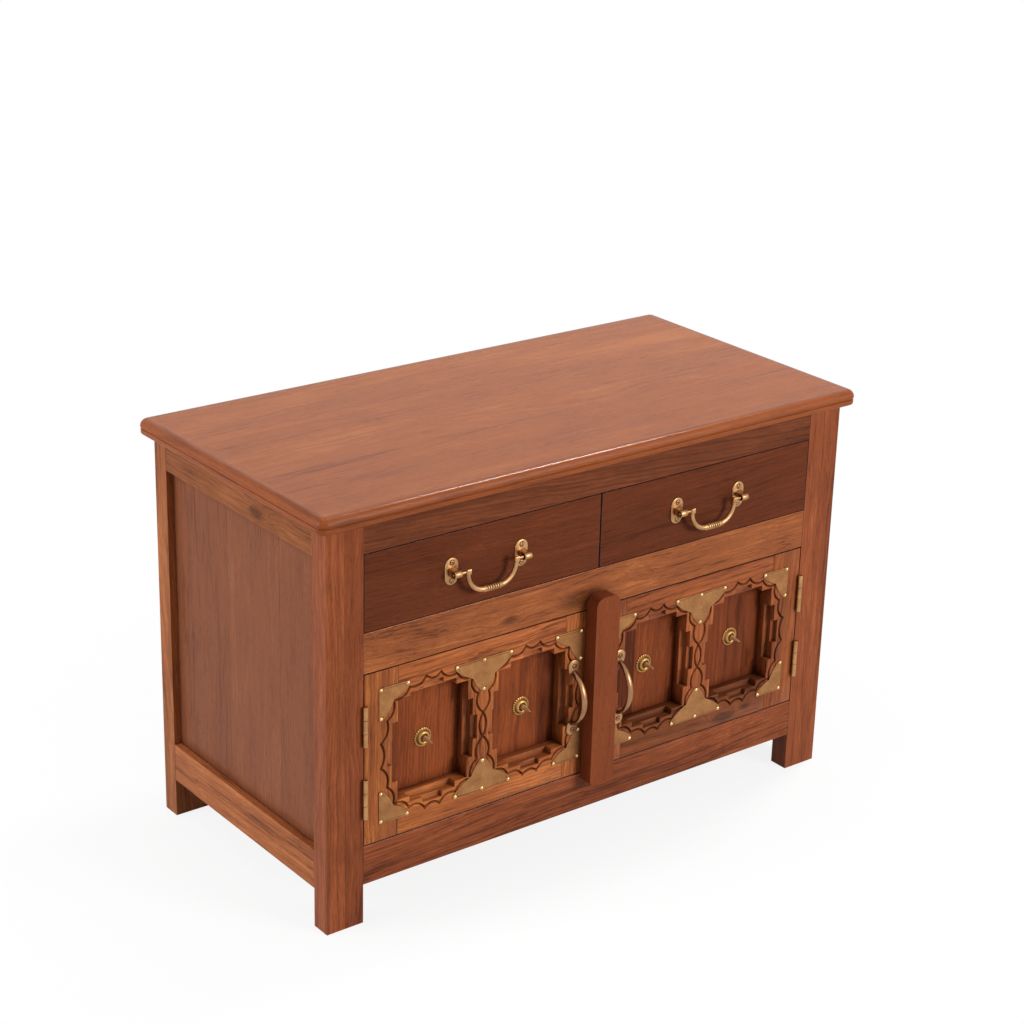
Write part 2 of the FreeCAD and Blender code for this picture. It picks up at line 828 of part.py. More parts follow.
def nail(place):
    """A nail with a domed head that sits on its plate."""
    dome_radius = (nail_head_radius ** 2 + nail_head_height ** 2) / (2 * nail_head_height)
    half_angle = math.asin(nail_head_radius / dome_radius) / 2
    shoulder = Vector(dome_radius * math.sin(half_angle), 0,
                      nail_head_height - dome_radius * (1 - math.cos(half_angle)))
    whole = turned([(Vector(0, 0, -nail_length), None),
                    (Vector(nail_shank_radius, 0, -nail_length), None),
                    (Vector(nail_shank_radius, 0, 0), None),
                    (Vector(nail_head_radius, 0, 0), None),
                    (Vector(0, 0, nail_head_height), shoulder)])
    whole.translate(Vector(place.x, -plate_thickness, place.z))
    return whole


def stud(place):
    """A rosette with a domed middle and a spike, with a shank into the panel."""
    rim = Vector(rosette_radius, 0, rosette_rim)
    spike_foot = Vector(spike_radius, 0, rosette_height)
    shoulder = (rim + spike_foot) / 2 + Vector(1, 0, 1).normalize() * rosette_rim
    whole = turned([(Vector(0, 0, -stud_shank_length), None),
                    (Vector(stud_shank_radius, 0, -stud_shank_length), None),
                    (Vector(stud_shank_radius, 0, 0), None),
                    (Vector(rosette_radius, 0, 0), None),
                    (rim, None),
                    (spike_foot, shoulder),
                    (Vector(0, 0, rosette_height + spike_length), None)])
    whole.translate(place)
    return whole


def stud_hole(place):
    """The hole in a panel for a stud's shank."""
    radius = stud_shank_radius + nail_hole_clearance
    return rod(place, Vector(0, 1, 0), radius, stud_shank_length + nail_hole_clearance)


def panels_and_studs(rise):
    """Both panels of the left door, and the studs at some height above its middle."""
    panels = []
    studs = []
    for x0, x1 in openings:
        place = Vector((x0 + x1) / 2, panel_front, door_middle_z + rise)
        panels.append(cut(panel_rebate(x0, x1, panel_edge_gap), [stud_hole(place)]))
        studs.append(stud(place))
    return Part.makeCompound(panels), Part.makeCompound(studs)


left_bow = Vector(door_x1 - left_bow_inset, 0, door_middle_z + left_bow_rise)
right_bow = Vector(door_x1 - right_bow_inset, 0, door_middle_z + right_bow_rise)


def bow_pads(place, grow=0.0):
    """The shield-shaped pads of a bow handle, or the room that the brass plates leave for them."""
    half = bow_pad_width / 2 + grow
    neck = bow_neck_width / 2 + grow
    result = []
    for sign in (-1, 1):
        wide_z = sign * bow_spacing / 2
        neck_z = wide_z - sign * (bow_neck_length + grow)
        points = [(place + Vector(-half, 0, wide_z), None),
                  (place + Vector(half, 0, wide_z), place + Vector(0, 0, wide_z + sign * half)),
                  (place + Vector(neck, 0, neck_z), None),
                  (place + Vector(-neck, 0, neck_z), None)]
        face = Part.Face(polygon_wire(points))
        result.append(face.extrude(Vector(0, -bow_pad_thickness, 0)))
    return result


def bow_handle(place):
    """A bow handle: two pads and an oval bar that arches away from the door between them."""
    rise = bow_reach - bow_pad_thickness / 2
    half_span = bow_span / 2
    arch_radius = (half_span ** 2 + rise ** 2) / (2 * rise)
    half_angle = math.degrees(2 * math.atan(rise / half_span))
    centre = place + Vector(0, arch_radius - bow_reach, 0)
    oval = Part.Ellipse(Vector(0, 0, 0), bow_bar_width / 2, bow_bar_depth / 2)
    bar = Part.Face(Part.Wire(oval.toShape()))
    bar.translate(place + Vector(0, -bow_reach, 0))
    bar.rotate(centre, Vector(1, 0, 0), -half_angle)
    arch = bar.revolve(centre, Vector(1, 0, 0), 2 * half_angle)
    behind = box(place.x - bow_bar_width, place.x + bow_bar_width, 0, 2 * bow_bar_width,
                 place.z - bow_spacing, place.z + bow_spacing)
    return cut(fuse(bow_pads(place) + [arch]), [behind])


def meeting_stile():
    """The stile where the doors meet, planed to a bevel so that the thick doors clear."""
    wire = polygon_wire([(Vector(stile_inner_right, 0, door_z0), None),
                         (Vector(door_x1, 0, door_z0), None),
                         (Vector(door_x1 - meeting_bevel, door_thickness, door_z0), None),
                         (Vector(stile_inner_right, door_thickness, door_z0), None)])
    return Part.Face(wire).extrude(Vector(0, 0, door_z1 - door_z0))


def astragal():
    """A thick batten with rounded ends, relieved behind wherever it only covers."""
    half = astragal_width / 2
    z0 = bottom_rail_top - astragal_below
    z1 = middle_rail_base + astragal_above
    low = astragal_bottom_round
    top = astragal_top_round
    # How far the middle of a rounded corner lies from both sides, in radii
    bulge = 1 - math.sqrt(0.5)
    points = [(Vector(half, 0, z1 - top), None),
              (Vector(half - top, 0, z1), Vector(half - top * bulge, 0, z1 - top * bulge)),
              (Vector(top - half, 0, z1), None),
              (Vector(-half, 0, z1 - top), Vector(top * bulge - half, 0, z1 - top * bulge)),
              (Vector(-half, 0, z0 + low), None),
              (Vector(low - half, 0, z0), Vector(low * bulge - half, 0, z0 + low * bulge)),
              (Vector(half - low, 0, z0), None),
              (Vector(half, 0, z0 + low), Vector(half - low * bulge, 0, z0 + low * bulge))]
    batten = Part.Face(polygon_wire(points)).extrude(Vector(0, -astragal_thickness, 0))
    batten.translate(Vector(astragal_offset, 0, 0))
    left = astragal_offset - half
    right = astragal_offset + half
    gap = astragal_clearance
    relief = [box(left, meeting_gap / 2, -gap, 0, z0, z1),
              box(left, right, -gap, 0, z0, door_z0),
              box(left, right, -gap, 0, door_z1, z1)]
    return cut(batten, relief)


def export_doors():
    """Framed doors with panels, plates, nails, studs, handles and hinge leaves."""
    rails = [Rail(0, (stile_inner_left, 0, z0), (stile_inner_right, door_thickness, z1),
                  door_tenon_middle)
             for z0, z1 in ((door_z0, opening_z0), (opening_z1, door_z1))]
    muntin = Rail(2, (muntin_x0, 0, opening_z0), (muntin_x1, door_thickness, opening_z1),
                  door_tenon_middle)
    plates, places = door_plates()
    holes = [nail_hole(place) for place in places]
    carving = []
    for x0, x1 in openings:
        carving += stepped_carving(x0, x1)
        carving.append(panel_rebate(x0, x1, 0.0))
    mortises = [mortise for rail in rails for mortise in rail.mortises()]
    hinge_stile = box(door_x0, stile_inner_left, 0, door_thickness, door_z0, door_z1)
    recesses = [leaf_recess(base, False) for base in hinge_bases]
    export_pair("door_hinge_stile", cut(hinge_stile, carving + mortises + holes + recesses))
    export_pair("door_meeting_stile", cut(meeting_stile(), carving + mortises + holes))
    rail_tools = carving + muntin.mortises() + holes
    export_pair("door_bottom_rail", cut(rails[0].solid(), rail_tools))
    export_pair("door_top_rail", cut(rails[1].solid(), rail_tools))
    export_pair("door_muntin", cut(muntin.solid(), carving + holes))
    left_panels, left_studs = panels_and_studs(left_stud_rise)
    right_panels, right_studs = panels_and_studs(right_stud_rise)
    export("left_door_panels", left_panels)
    export("left_door_studs", left_studs)
    export("right_door_panels", mirrored(right_panels))
    export("right_door_studs", mirrored(right_studs))
    left_plates = [cut(plate, holes + bow_pads(left_bow, bow_pad_clearance)) for plate in plates]
    right_plates = [cut(plate, holes + bow_pads(right_bow, bow_pad_clearance)) for plate in plates]
    export("left_door_plates", Part.makeCompound(left_plates))
    export("right_door_plates", mirrored(Part.makeCompound(right_plates)))
    export_pair("door_nails", Part.makeCompound([nail(place) for place in places]))
    export("left_door_handle", bow_handle(left_bow))
    export("right_door_handle", mirrored(bow_handle(right_bow)))
    leaves = [hinge_leaf(base, False) for base in hinge_bases]
    export_pair("door_hinge_leaves", Part.makeCompound(leaves))
    export("door_astragal", astragal())


os.makedirs("parts", exist_ok=True)
export_carcass()
export_drawers()
export_bails()
export_doors()
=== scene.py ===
import math
import random

import bmesh
import bpy
from mathutils import Color, Matrix, Vector


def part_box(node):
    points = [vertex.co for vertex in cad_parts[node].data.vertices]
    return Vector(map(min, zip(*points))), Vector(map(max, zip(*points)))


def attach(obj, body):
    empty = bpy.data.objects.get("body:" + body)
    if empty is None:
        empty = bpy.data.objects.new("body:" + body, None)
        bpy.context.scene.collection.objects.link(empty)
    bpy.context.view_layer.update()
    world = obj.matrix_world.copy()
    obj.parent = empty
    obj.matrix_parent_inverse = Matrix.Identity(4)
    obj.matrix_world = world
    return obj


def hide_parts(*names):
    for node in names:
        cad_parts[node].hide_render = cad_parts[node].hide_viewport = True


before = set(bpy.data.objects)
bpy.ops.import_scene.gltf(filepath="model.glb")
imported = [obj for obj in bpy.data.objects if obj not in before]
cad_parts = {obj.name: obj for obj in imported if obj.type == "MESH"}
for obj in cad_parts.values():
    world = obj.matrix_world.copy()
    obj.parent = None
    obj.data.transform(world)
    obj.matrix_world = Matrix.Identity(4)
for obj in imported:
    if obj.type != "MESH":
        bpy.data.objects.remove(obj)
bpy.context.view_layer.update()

SCENE = bpy.context.scene
MM = 0.001
SIGNS = {"left": -1, "right": 1}
SIDES = tuple(SIGNS)
AXES = "xyz"
ORIGIN = (0, 0, 0)
WHITE = (1, 1, 1, 1)
SCREEN_FULL = 255

# Wood tones: light, body and dark colour of each kind of board, as seen on screen
TONES = {
    "top": ((178, 107, 62), (158, 88, 49), (128, 67, 37)),
    "lip": ((165, 90, 36), (146, 73, 27), (118, 56, 19)),
    "rail": ((190, 112, 62), (155, 87, 48), (104, 53, 30)),
    "post": ((166, 90, 53), (138, 72, 41), (100, 49, 28)),
    "side": ((152, 92, 63), (134, 79, 53), (104, 57, 38)),
    "side_rail": ((176, 108, 64), (152, 88, 50), (112, 60, 35)),
    "drawer": ((124, 63, 37), (104, 52, 30), (78, 37, 21)),
    "left_door": ((204, 121, 63), (164, 91, 48), (102, 51, 27)),
    "right_door": ((184, 103, 57), (152, 82, 45), (100, 49, 28)),
    "panel": ((156, 80, 42), (121, 60, 33), (84, 39, 22)),
    "batten": ((150, 79, 44), (134, 68, 38), (110, 54, 31)),
    "inner": ((172, 122, 78), (150, 102, 62), (118, 76, 44)),
}

# How strongly each kind of board mirrors light
SHEEN = {
    "top": 0.1, "lip": 0.22, "rail": 0.1, "post": 0.08, "side": 0.05, "side_rail": 0.05, "drawer": 0.04,
    "left_door": 0.1, "right_door": 0.1, "panel": 0.05, "batten": 0.06, "inner": 0.15,
}

# How much lighter or darker than its tone a front post, an edge or a hollow is. Edges are lighter as wear and
# painted highlight, and darker on drawers and posts as painted shade in the gaps
FRONT_POST_GAIN = {"left": 1.0, "right": 1.12}
EDGE_GAIN = {"drawer": 0.5, "post": 0.9, "batten": 0.8}
EDGE_WEAR_AND_HIGHLIGHT_GAIN = 1.2
EDGE_GLOSS_DIRT_AND_SHADE = {"sheen": 0.25, "polish": 0.1, "grime": 1.2}
EDGE_WEAR_LIGHT_AND_SHADE_MATERIAL = 1
DEEP_GAIN = 0.28
# The groove's near-black wood is painted shade in the cut
GROOVE_SHADE_GAIN = 0.07

# Dirt, tarnish and painted shade in corners and gaps
GRIME_AND_SHADE_REACH = 17 * MM
TARNISH_REACH = 4 * MM
CREVICE_SAMPLES = 6

# Noises in the grain: turns per metre along it and across it, and detail
WANDER_NOISE = (2.2, 5.0, 1.0)
RIPPLE_NOISE = (11.0, 22.0, 1.0)
RAGGED_NOISE = (9.0, 60.0, 2.0)
GRAIN_NOISES = {
    "lines": (5.0, 130.0, 5.0),
    "fibres": (25.0, 700.0, 2.0),
    "broad": (1.8, 14.0, 2.0),
    "blotch": (13.0, 24.0, 2.0),
    "pores": (60.0, 1800.0, 0.0),
    "streaks": (1.6, 55.0, 4.0),
}
MIDDLE = 0.5
WANDER = 30 * MM
RIPPLE = 9 * MM

# How much each layer of the grain sways its tone, height and roughness
TONE_WEIGHTS = {"lines": 1.3, "broad": 1.3, "fibres": 1.2, "blotch": 0.7}
HEIGHT_WEIGHTS = {"lines": 0.6, "fibres": 0.5, "pores": -0.5, "rings": -0.25}
ROUGHNESS_WEIGHTS = {"lines": 0.12, "broad": 0.1, "pores": 0.08}
WOOD_ROUGHNESS = 0.34
WOOD_BUMP = 0.35
WOOD_BUMP_DEPTH = 0.25 * MM

# Growth rings, as shares of one ring where no unit is given
RING_SPACING = 5.5 * MM
RING_RAGGED = 0.7
RING_DARKENS = (0.15, 0.85)
RING_ENDS = (0.86, 1.0)
RING_STRENGTH_LEAST = 0.1
RING_STRENGTH_SPREAD = 0.9
RING_MEAN = 0.3
RINGS_PER_KNOT = 5.0

# Dark marks: where each starts to show and shows in full, and how dark it is
PORE_SHOWS = (0.58, 0.72)
PORE_DARKNESS = 0.28
STREAK_SHOWS = (0.54, 0.68)
KNOT_SHOWS = (0.4, 1.0)
KNOT_DARKNESS = 0.6
KNOT_SQUASH = 0.42
DARKEST = 0.9

# A board's place in its log: tilt and skew in radians, reach along the log, and the pith's place
LOG_TILT = 0.07
LOG_SKEW = 0.05
LOG_REACH = 3
PITH_BESIDE = 0.06
PITH_BEHIND = (0.05, 0.11)
GRAIN_TURNS = {
    "x": Matrix.Identity(3),
    "y": Matrix(((0, 1, 0), (-1, 0, 0), (0, 0, 1))),
    "z": Matrix(((0, 0, 1), (0, 1, 0), (-1, 0, 0))),
}

# Strips glued up in a board: the axis across them, the first one's tone, then each next one's start and tone
STRIP_SHIFT = (0.31, 0.045, 0.02)
JOINT_LINE = 0.35 * MM
JOINT_DARKNESS = 0.5
TOP_STRIPS = ("y", -0.05, ((-0.06, 0.05), (0.09, 0.12)))
BACK_STRIPS = ("x", 0.1, ((-0.2, -0.1), (0.0, 0.05), (0.2, -0.05)))
FLOOR_STRIPS = ("y", 0.1, ((-0.07, -0.1), (0.07, 0.05)))
SIDE_STRIPS = ("y", 0.0, ((-0.08, 0.08), (0.05, -0.05)))
DRAWER_BOTTOM_STRIPS = ("y", 0.05, ((0.0, -0.05),))
FRONT_POST_STRIPS = {side: ("x", 0.08, ((sign * 0.4116, -0.02),)) for side, sign in SIGNS.items()}
PANEL_STRIPS = {
    # On the left door the last, darker strip from -0.082 is partly darker wood, partly painted shade beside
    # the opening's right wall
    "left": ("x", 0.17, ((-0.247, 0.2), (-0.19, 0.1), (-0.082, -0.25))),
    "right": ("x", -0.5, ((0.092, 0.08), (0.19, 0.0), (0.3, -0.05))),
}

# Knots: place and radius, or on a door's face the place along x, the height and the radius
MIDDLE_RAIL_KNOTS = (((-0.150, -0.205, 0.381), 9 * MM), ((-0.030, -0.205, 0.382), 22 * MM))
SIDE_RAIL_KNOTS = {side: (((sign * 0.4405, -0.0435, 0.544), 12 * MM),) for side, sign in SIGNS.items()}
DOOR_KNOTS = {"right_door_bottom_rail": ((0.249, 0.125, 14 * MM), (0.29, 0.131, 7 * MM))}

# Brass: noises as turns per metre and detail, scratches as the grain's noises, and what each layer sways
MOTTLE_NOISE = (55.0, 5.0)
SPECK_NOISE = (420.0, 3.0)
SCRATCH_NOISE = (2600.0, 260.0, 2.0)
PATINA_WEIGHTS = {"mottle": 1.3, "specks": 0.7}
BRASS_ROUGHNESS_WEIGHTS = {"mottle": 0.16, "specks": 0.1, "scratches": 0.08}
BRASS_HEIGHT_WEIGHTS = {"specks": 0.6, "scratches": 0.5}
BRASS_BUMP = 0.25
BRASS_BUMP_DEPTH = 0.12 * MM

# Rounded edges
EDGE_ROUND = 1.0 * MM
CARVED_ROUND = 0.6 * MM
BRASS_ROUND = 0.25 * MM
ROUND_SEGMENTS = 2
ROUND_PROFILE = 0.5
SHORTEST_ROUNDED = 4 * MM
EDGE_ANGLE = math.radians(40)
SMOOTH_ANGLE = math.radians(38)
FULL_FACE_WEIGHT = 100
WELD = 1e-6

# Edge of the top slab: how far in and how high, in mm, each line of its moulding lies, up to the nose's round
SLAB_MOULDING = ((4.0, 0.0), (2.0, 0.6), (0.9, 1.9), (0.5, 3.6), (0.5, 7.6), (1.9, 8.6), (1.9, 9.2),
                 (0.7, 9.9), (0.1, 10.9))
SLAB_NOSE = 10.5 * MM
SLAB_NOSE_STEPS = 10
SLAB_CORNER = 13 * MM
SLAB_CORNER_LEAST = 1 * MM
SLAB_CORNER_STEPS = 10
SLAB_CAPS = 2

# The slab's lip: hands polish it on top, where its face looks up, and not below
LIP_WIDTH = 13 * MM
LIP_POLISH = 0.14
LIP_DULLNESS = 0.3
LIP_DULLS = (0.8, 0.45)
LIP_TONE = -0.1
LIP_BUMP = 0.06
LIP_MATERIAL = 1

# Scalloped ring carved round each door panel: one quarter of its outward points from its centre, in mm
RING_POINTS = ((12, 97), (38, 88), (63.5, 76), (73, 48.5), (83, 18))
RING_BULGE = 5.6 * MM
RING_STEPS = 9
RING_MEETS = 1 * MM
GROOVE_WIDTH = 3.7 * MM
GROOVE_DEPTH = 3.0 * MM
GROOVE_ABOVE = 1.0 * MM
GROOVE_MATERIAL = 2
MITRE_LIMIT = 2.5

# A door's boards: the way the grain runs, and how much lighter or darker than its tone, left and right
DOOR_PARTS = {
    "hinge_stile": ("z", 0.9, 0.92),
    "meeting_stile": ("z", 0.98, 0.95),
    "muntin": ("z", 1.1, 0.98),
    "top_rail": ("x", 1.25, 1.1),
    "bottom_rail": ("x", 1.08, 0.62),
}

# Rosettes with spikes, lengths in mm: radius and height of the dish and of the spike, then the teeth
DISH_PROFILE = ((14.0, 0.0), (14.0, 0.9), (13.4, 1.4), (11.5, 1.5), (11.0, 1.0), (10.4, 1.7), (9.7, 3.4),
                (8.5, 5.0), (7.2, 5.4), (6.0, 5.0), (5.1, 3.8), (4.5, 2.4), (3.6, 2.0))
SPIKE_PROFILE = ((3.0, 1.6), (3.0, 4.6), (3.9, 5.6), (3.9, 6.6), (3.5, 7.6), (2.9, 12.0), (1.9, 17.0),
                 (0.9, 21.4), (0.4, 22.4))
STUD_TEETH = 24
STUD_TOOTH = 1.7
STUD_TOOTHED_FROM = 12.5
STUD_SEGMENTS = 192
SPIKE_MATERIAL = 1

# Bow handles: the strap's half width and depth; the pads' layers are shares of thickness and radius
BOW_PAD_SPACING = 96 * MM
BOW_SPAN = 80 * MM
BOW_REACH = 27 * MM
BOW_STEPS = 40
BOW_MIDDLE = Vector((4.8, 3.2)) * MM
BOW_END = Vector((3.4, 2.6)) * MM
PAD_THICKNESS = 3 * MM
PAD_RADIUS = 9.5 * MM
PAD_NECK_HALF = 8 * MM
PAD_NECK_LENGTH = 10.5 * MM
PAD_CORNER = 2.2 * MM
PAD_CORNER_CUT = PAD_CORNER / 3
PAD_STEPS = 16
PAD_LAYERS = ((0, 0), (0.6, 0), (0.85, 0.06), (1.0, 0.18))
PAD_MATERIAL = 2
PAD_SCREW_TURN = 0.6

# Bail handles on the drawers
BAIL_HALF_SPAN = 39 * MM
BAIL_DROP = 30.5 * MM
BAIL_CORNER = 27 * MM
BAIL_CORNER_STEPS = 12
BAIL_BAR_END = 3.1 * MM
BAIL_BAR_MIDDLE = 4.1 * MM
BAIL_BLOCK = 4.0 * MM
BAIL_BLOCK_EDGE = 1.3 * MM
BLOCK_SQUARENESS = 5
BAIL_PIN_RADIUS = 2 * MM
BAIL_PIN_END = 63.2 * MM
BAIL_PIN_CHAMFER = 0.5 * MM
BAIL_PIN_TIP = 0.7 * BAIL_PIN_RADIUS
GRIP_LENGTH = 26 * MM
GRIP_RADIUS = 4.95 * MM
GRIP_GROOVE = 1.8 * MM
GRIP_RINGS = 7
GRIP_RING_STEPS = 12

# Plates of the bails; their layers are shares of their thickness, and insets
PLATE_WIDTH = 21 * MM
PLATE_HEIGHT = 38 * MM
PLATE_THICKNESS = 2 * MM
PLATE_SPACING = 113 * MM
PLATE_STEPS = 16
PLATE_LAYERS = ((0, 0), (0.55, 0), (0.85, 0.5 * MM), (1.0, 1.4 * MM))
PLATE_SCREW_TURN = 0.5
PLATE_SCREW_SPREAD = 0.8
SECTION_SEGMENTS = 24
BOSS_SEGMENTS = 2 * SECTION_SEGMENTS
BOSS_WIDTH = 11.5 * MM
BOSS_RADIUS = 5.0 * MM
BOSS_EDGE = 0.7 * MM
BOSS_END_SHARE = 0.92
BOSS_SUNK = PLATE_THICKNESS / 4
BOSS_BORE = 2.1 * MM
BORE_MOUTH = 3.7 * MM
BORE_STEP = 2.4 * MM
PIVOT_REACH = 13.5 * MM

# Screws; the dome is in shares of their radius and height
SCREW_RADIUS = 3.3 * MM
SCREW_HEIGHT = 0.9 * MM
SCREW_SLOT = 0.55 * MM
SCREW_STEPS = 12
SCREW_DOME = ((0.92, 0.3), (0.86, 0.75), (0.6, 1.0))
SCREW_OFFSET = 12.6 * MM
SEAT_RADIUS = 3.9 * MM
SEAT_PROFILE = ((SEAT_RADIUS, 0), (SEAT_RADIUS, 0.2 * SCREW_HEIGHT), (SCREW_RADIUS, 0.35 * SCREW_HEIGHT))
# The seat's dark brass is painted shade
SEAT_SHADE_MATERIAL = 1

# Studio, row frame, metres
CAMERA_PLACE = (-1.8927, -2.4480, 1.6569)
CAMERA_AZIMUTH = math.radians(-37.82)
CAMERA_FALL = math.radians(21.56)
CAMERA_ROLL = math.radians(1.51)
CAMERA_LENS = 82.57
SENSOR = 36.0
FLOOR_HALF = 9.0
FLOOR_SHADOW_FADES = (0.45, 1.1)
FLOOR_SHADOW_SHARE = 0.15
FLOOR_BOUNCE = 0.5
AMBIENT = 0.33

# Lamps: name, place, point aimed at, width, height and power in watts
LAMPS = (
    ("key", (2.2, -4.8, 2.0), (0, -0.2, 0.3), 2.0, 2.0, 197),
    ("strip", (1.51, 0.1, 2.9), (-0.16, -0.23, 0.59), 0.4, 0.7, 38),
    ("rim", (0.8, 1.3, 2.7), (-0.1, -0.1, 0.6), 2.2, 0.9, 3),
    ("side", (-3.0, 0.6, 1.4), (-0.4, 0, 0.3), 1.6, 1.6, 60),
    ("top", (-0.9, 0.6, 2.6), (-0.3, 0.1, 0.5), 1.6, 1.6, 5),
)


def srgb(colour, gain=1.0):
    """A colour as seen on screen, as the linear colour of a shader."""
    linear = Color([value / SCREEN_FULL for value in colour]).from_srgb_to_scene_linear()
    return (*(linear * gain), 1.0)


def add(tree, kind, inputs, **settings):
    """Adds a shader node, sets its properties, and links or sets its inputs by name or number."""
    node = tree.nodes.new("ShaderNode" + kind)
    for key, value in settings.items():
        setattr(node, key, value)
    for key, value in inputs.items():
        if isinstance(value, bpy.types.NodeSocket):
            tree.links.new(value, node.inputs[key])
        else:
            node.inputs[key].default_value = value
    return node


def maths(tree, operation, *values):
    """One step of arithmetic."""
    return add(tree, "Math", dict(enumerate(values)), operation=operation).outputs[0]


def vector_maths(tree, operation, *values):
    """One step of vector arithmetic: the vector it gives, then the number."""
    return add(tree, "VectorMath", dict(enumerate(values)), operation=operation).outputs


def weighted(tree, start, layers, weights):
    """Adds layers by their weights, each layer taken about its middle."""
    total = start
    for name, weight in weights.items():
        centred = maths(tree, "SUBTRACT", layers[name], MIDDLE)
        total = maths(tree, "MULTIPLY_ADD", centred, weight, total)
    return total


def rise(tree, value, low, high):
    """Goes smoothly from 0 to 1 as the value goes from low to high."""
    limits = {0: value, 1: low, 2: high}
    return add(tree, "MapRange", limits, interpolation_type="SMOOTHSTEP").outputs[0]


def blend(tree, factor, first, second):
    """Mixes two colours."""
    return add(tree, "Mix", {0: factor, 6: first, 7: second}, data_type="RGBA").outputs[2]


def even_noise(tree, vector, scale, detail):
    """Noise that is alike in all directions."""
    return add(tree, "TexNoise", {"Vector": vector, "Scale": scale, "Detail": detail}).outputs[0]


def stretched_noise(tree, vector, along, across, detail):
    """Noise with its own scale along the vector's first axis, where the grain runs."""
    scaled = vector_maths(tree, "MULTIPLY", vector, (along, across, across))[0]
    return even_noise(tree, scaled, 1.0, detail)


def place_on_object(tree):
    """The place in the row frame, which is every object's own."""
    return add(tree, "TexCoord", {}).outputs["Object"]


def new_material(name):
    """A material with its node tree and its shader."""
    material = bpy.data.materials.new(name)
    material.use_nodes = True
    return material, material.node_tree, material.node_tree.nodes["Principled BSDF"]


def wire(tree, shader, colour, rough, relief):
    """Feeds a shader its colour, roughness and relief."""
    tree.links.new(colour, shader.inputs["Base Color"])
    tree.links.new(rough, shader.inputs["Roughness"])
    tree.links.new(add(tree, "Bump", relief).outputs[0], shader.inputs["Normal"])


def drifting(tree, vector):
    """Bends the straight grain into slow waves and small ripples."""
    wander = stretched_noise(tree, vector, *WANDER_NOISE)
    ripple = stretched_noise(tree, vector, *RIPPLE_NOISE)
    wave = maths(tree, "MULTIPLY_ADD", wander, WANDER, -WANDER / 2)
    small_wave = maths(tree, "MULTIPLY_ADD", ripple, RIPPLE, -RIPPLE / 2)
    shift = maths(tree, "ADD", wave, small_wave)
    sideways = add(tree, "CombineXYZ", {1: shift, 2: shift}).outputs[0]
    return vector_maths(tree, "ADD", vector, sideways)[0]


def growth_rings(tree, vector, knot):
    """Rings about the pith: 1 in the dark late wood, with each ring's own strength."""
    off_pith = vector_maths(tree, "MULTIPLY", vector, (0, 1, 1))[0]
    radius = vector_maths(tree, "LENGTH", off_pith)[1]
    ragged = stretched_noise(tree, vector, *RAGGED_NOISE)
    count = maths(tree, "DIVIDE", radius, RING_SPACING)
    count = maths(tree, "MULTIPLY_ADD", ragged, RING_RAGGED, count)
    count = maths(tree, "MULTIPLY_ADD", knot, RINGS_PER_KNOT, count)
    phase = maths(tree, "FRACT", count)
    number = maths(tree, "FLOOR", count)
    dark = rise(tree, phase, *RING_DARKENS)
    fall = rise(tree, phase, *RING_ENDS)
    chance = add(tree, "TexWhiteNoise", {"W": number}, noise_dimensions="1D").outputs["Value"]
    strength = maths(tree, "MULTIPLY_ADD", chance, RING_STRENGTH_SPREAD, RING_STRENGTH_LEAST)
    return maths(tree, "MULTIPLY", maths(tree, "SUBTRACT", dark, fall), strength)


def grain_layers(tree, vector, knot):
    """Noises of several lengths, and growth rings."""
    layers = {name: stretched_noise(tree, vector, *noise) for name, noise in GRAIN_NOISES.items()}
    layers["pores"] = rise(tree, layers["pores"], *PORE_SHOWS)
    layers["streaks"] = rise(tree, layers["streaks"], *STREAK_SHOWS)
    layers["rings"] = growth_rings(tree, vector, knot)
    return layers


def grain_tone(tree, given, layers):
    """The colour between dark and light, swayed by the layers."""
    ring_pull = maths(tree, "SUBTRACT", RING_MEAN, layers["rings"])
    ring_pull = maths(tree, "MULTIPLY", ring_pull, given["Rings"])
    swing = weighted(tree, ring_pull, layers, TONE_WEIGHTS)
    tone = maths(tree, "ADD", given["Tone"], MIDDLE)
    tone = maths(tree, "MULTIPLY_ADD", swing, given["Contrast"], tone)
    colour = blend(tree, rise(tree, tone, 0.0, MIDDLE), given["Dark"], given["Body"])
    return blend(tree, rise(tree, tone, MIDDLE, 1.0), colour, given["Light"])


def grain_marks(tree, given, layers):
    """How dark the streaks, pores, knots, and the dirt and painted shade in corners and gaps over the tone
    are.
    """
    knot = rise(tree, given["Knot"], *KNOT_SHOWS)
    depth = maths(tree, "MULTIPLY", layers["streaks"], given["Streaks"])
    depth = maths(tree, "MULTIPLY_ADD", layers["pores"], PORE_DARKNESS, depth)
    depth = maths(tree, "MULTIPLY_ADD", knot, KNOT_DARKNESS, depth)
    depth = maths(tree, "ADD", depth, given["Grime"])
    return maths(tree, "MINIMUM", depth, DARKEST)


def grain_sockets(tree):
    """Names what the shared grain takes and gives."""
    takes = {"Vector": "Vector"}
    takes.update(dict.fromkeys(("Light", "Body", "Dark", "Deep"), "Color"))
    takes.update(dict.fromkeys(("Rings", "Streaks", "Contrast", "Knot", "Tone", "Grime"), "Float"))
    gives = {"Color": "Color", "Height": "Float", "Roughness": "Float"}
    for way, sockets in (("INPUT", takes), ("OUTPUT", gives)):
        for name, kind in sockets.items():
            tree.interface.new_socket(name, in_out=way, socket_type="NodeSocket" + kind)


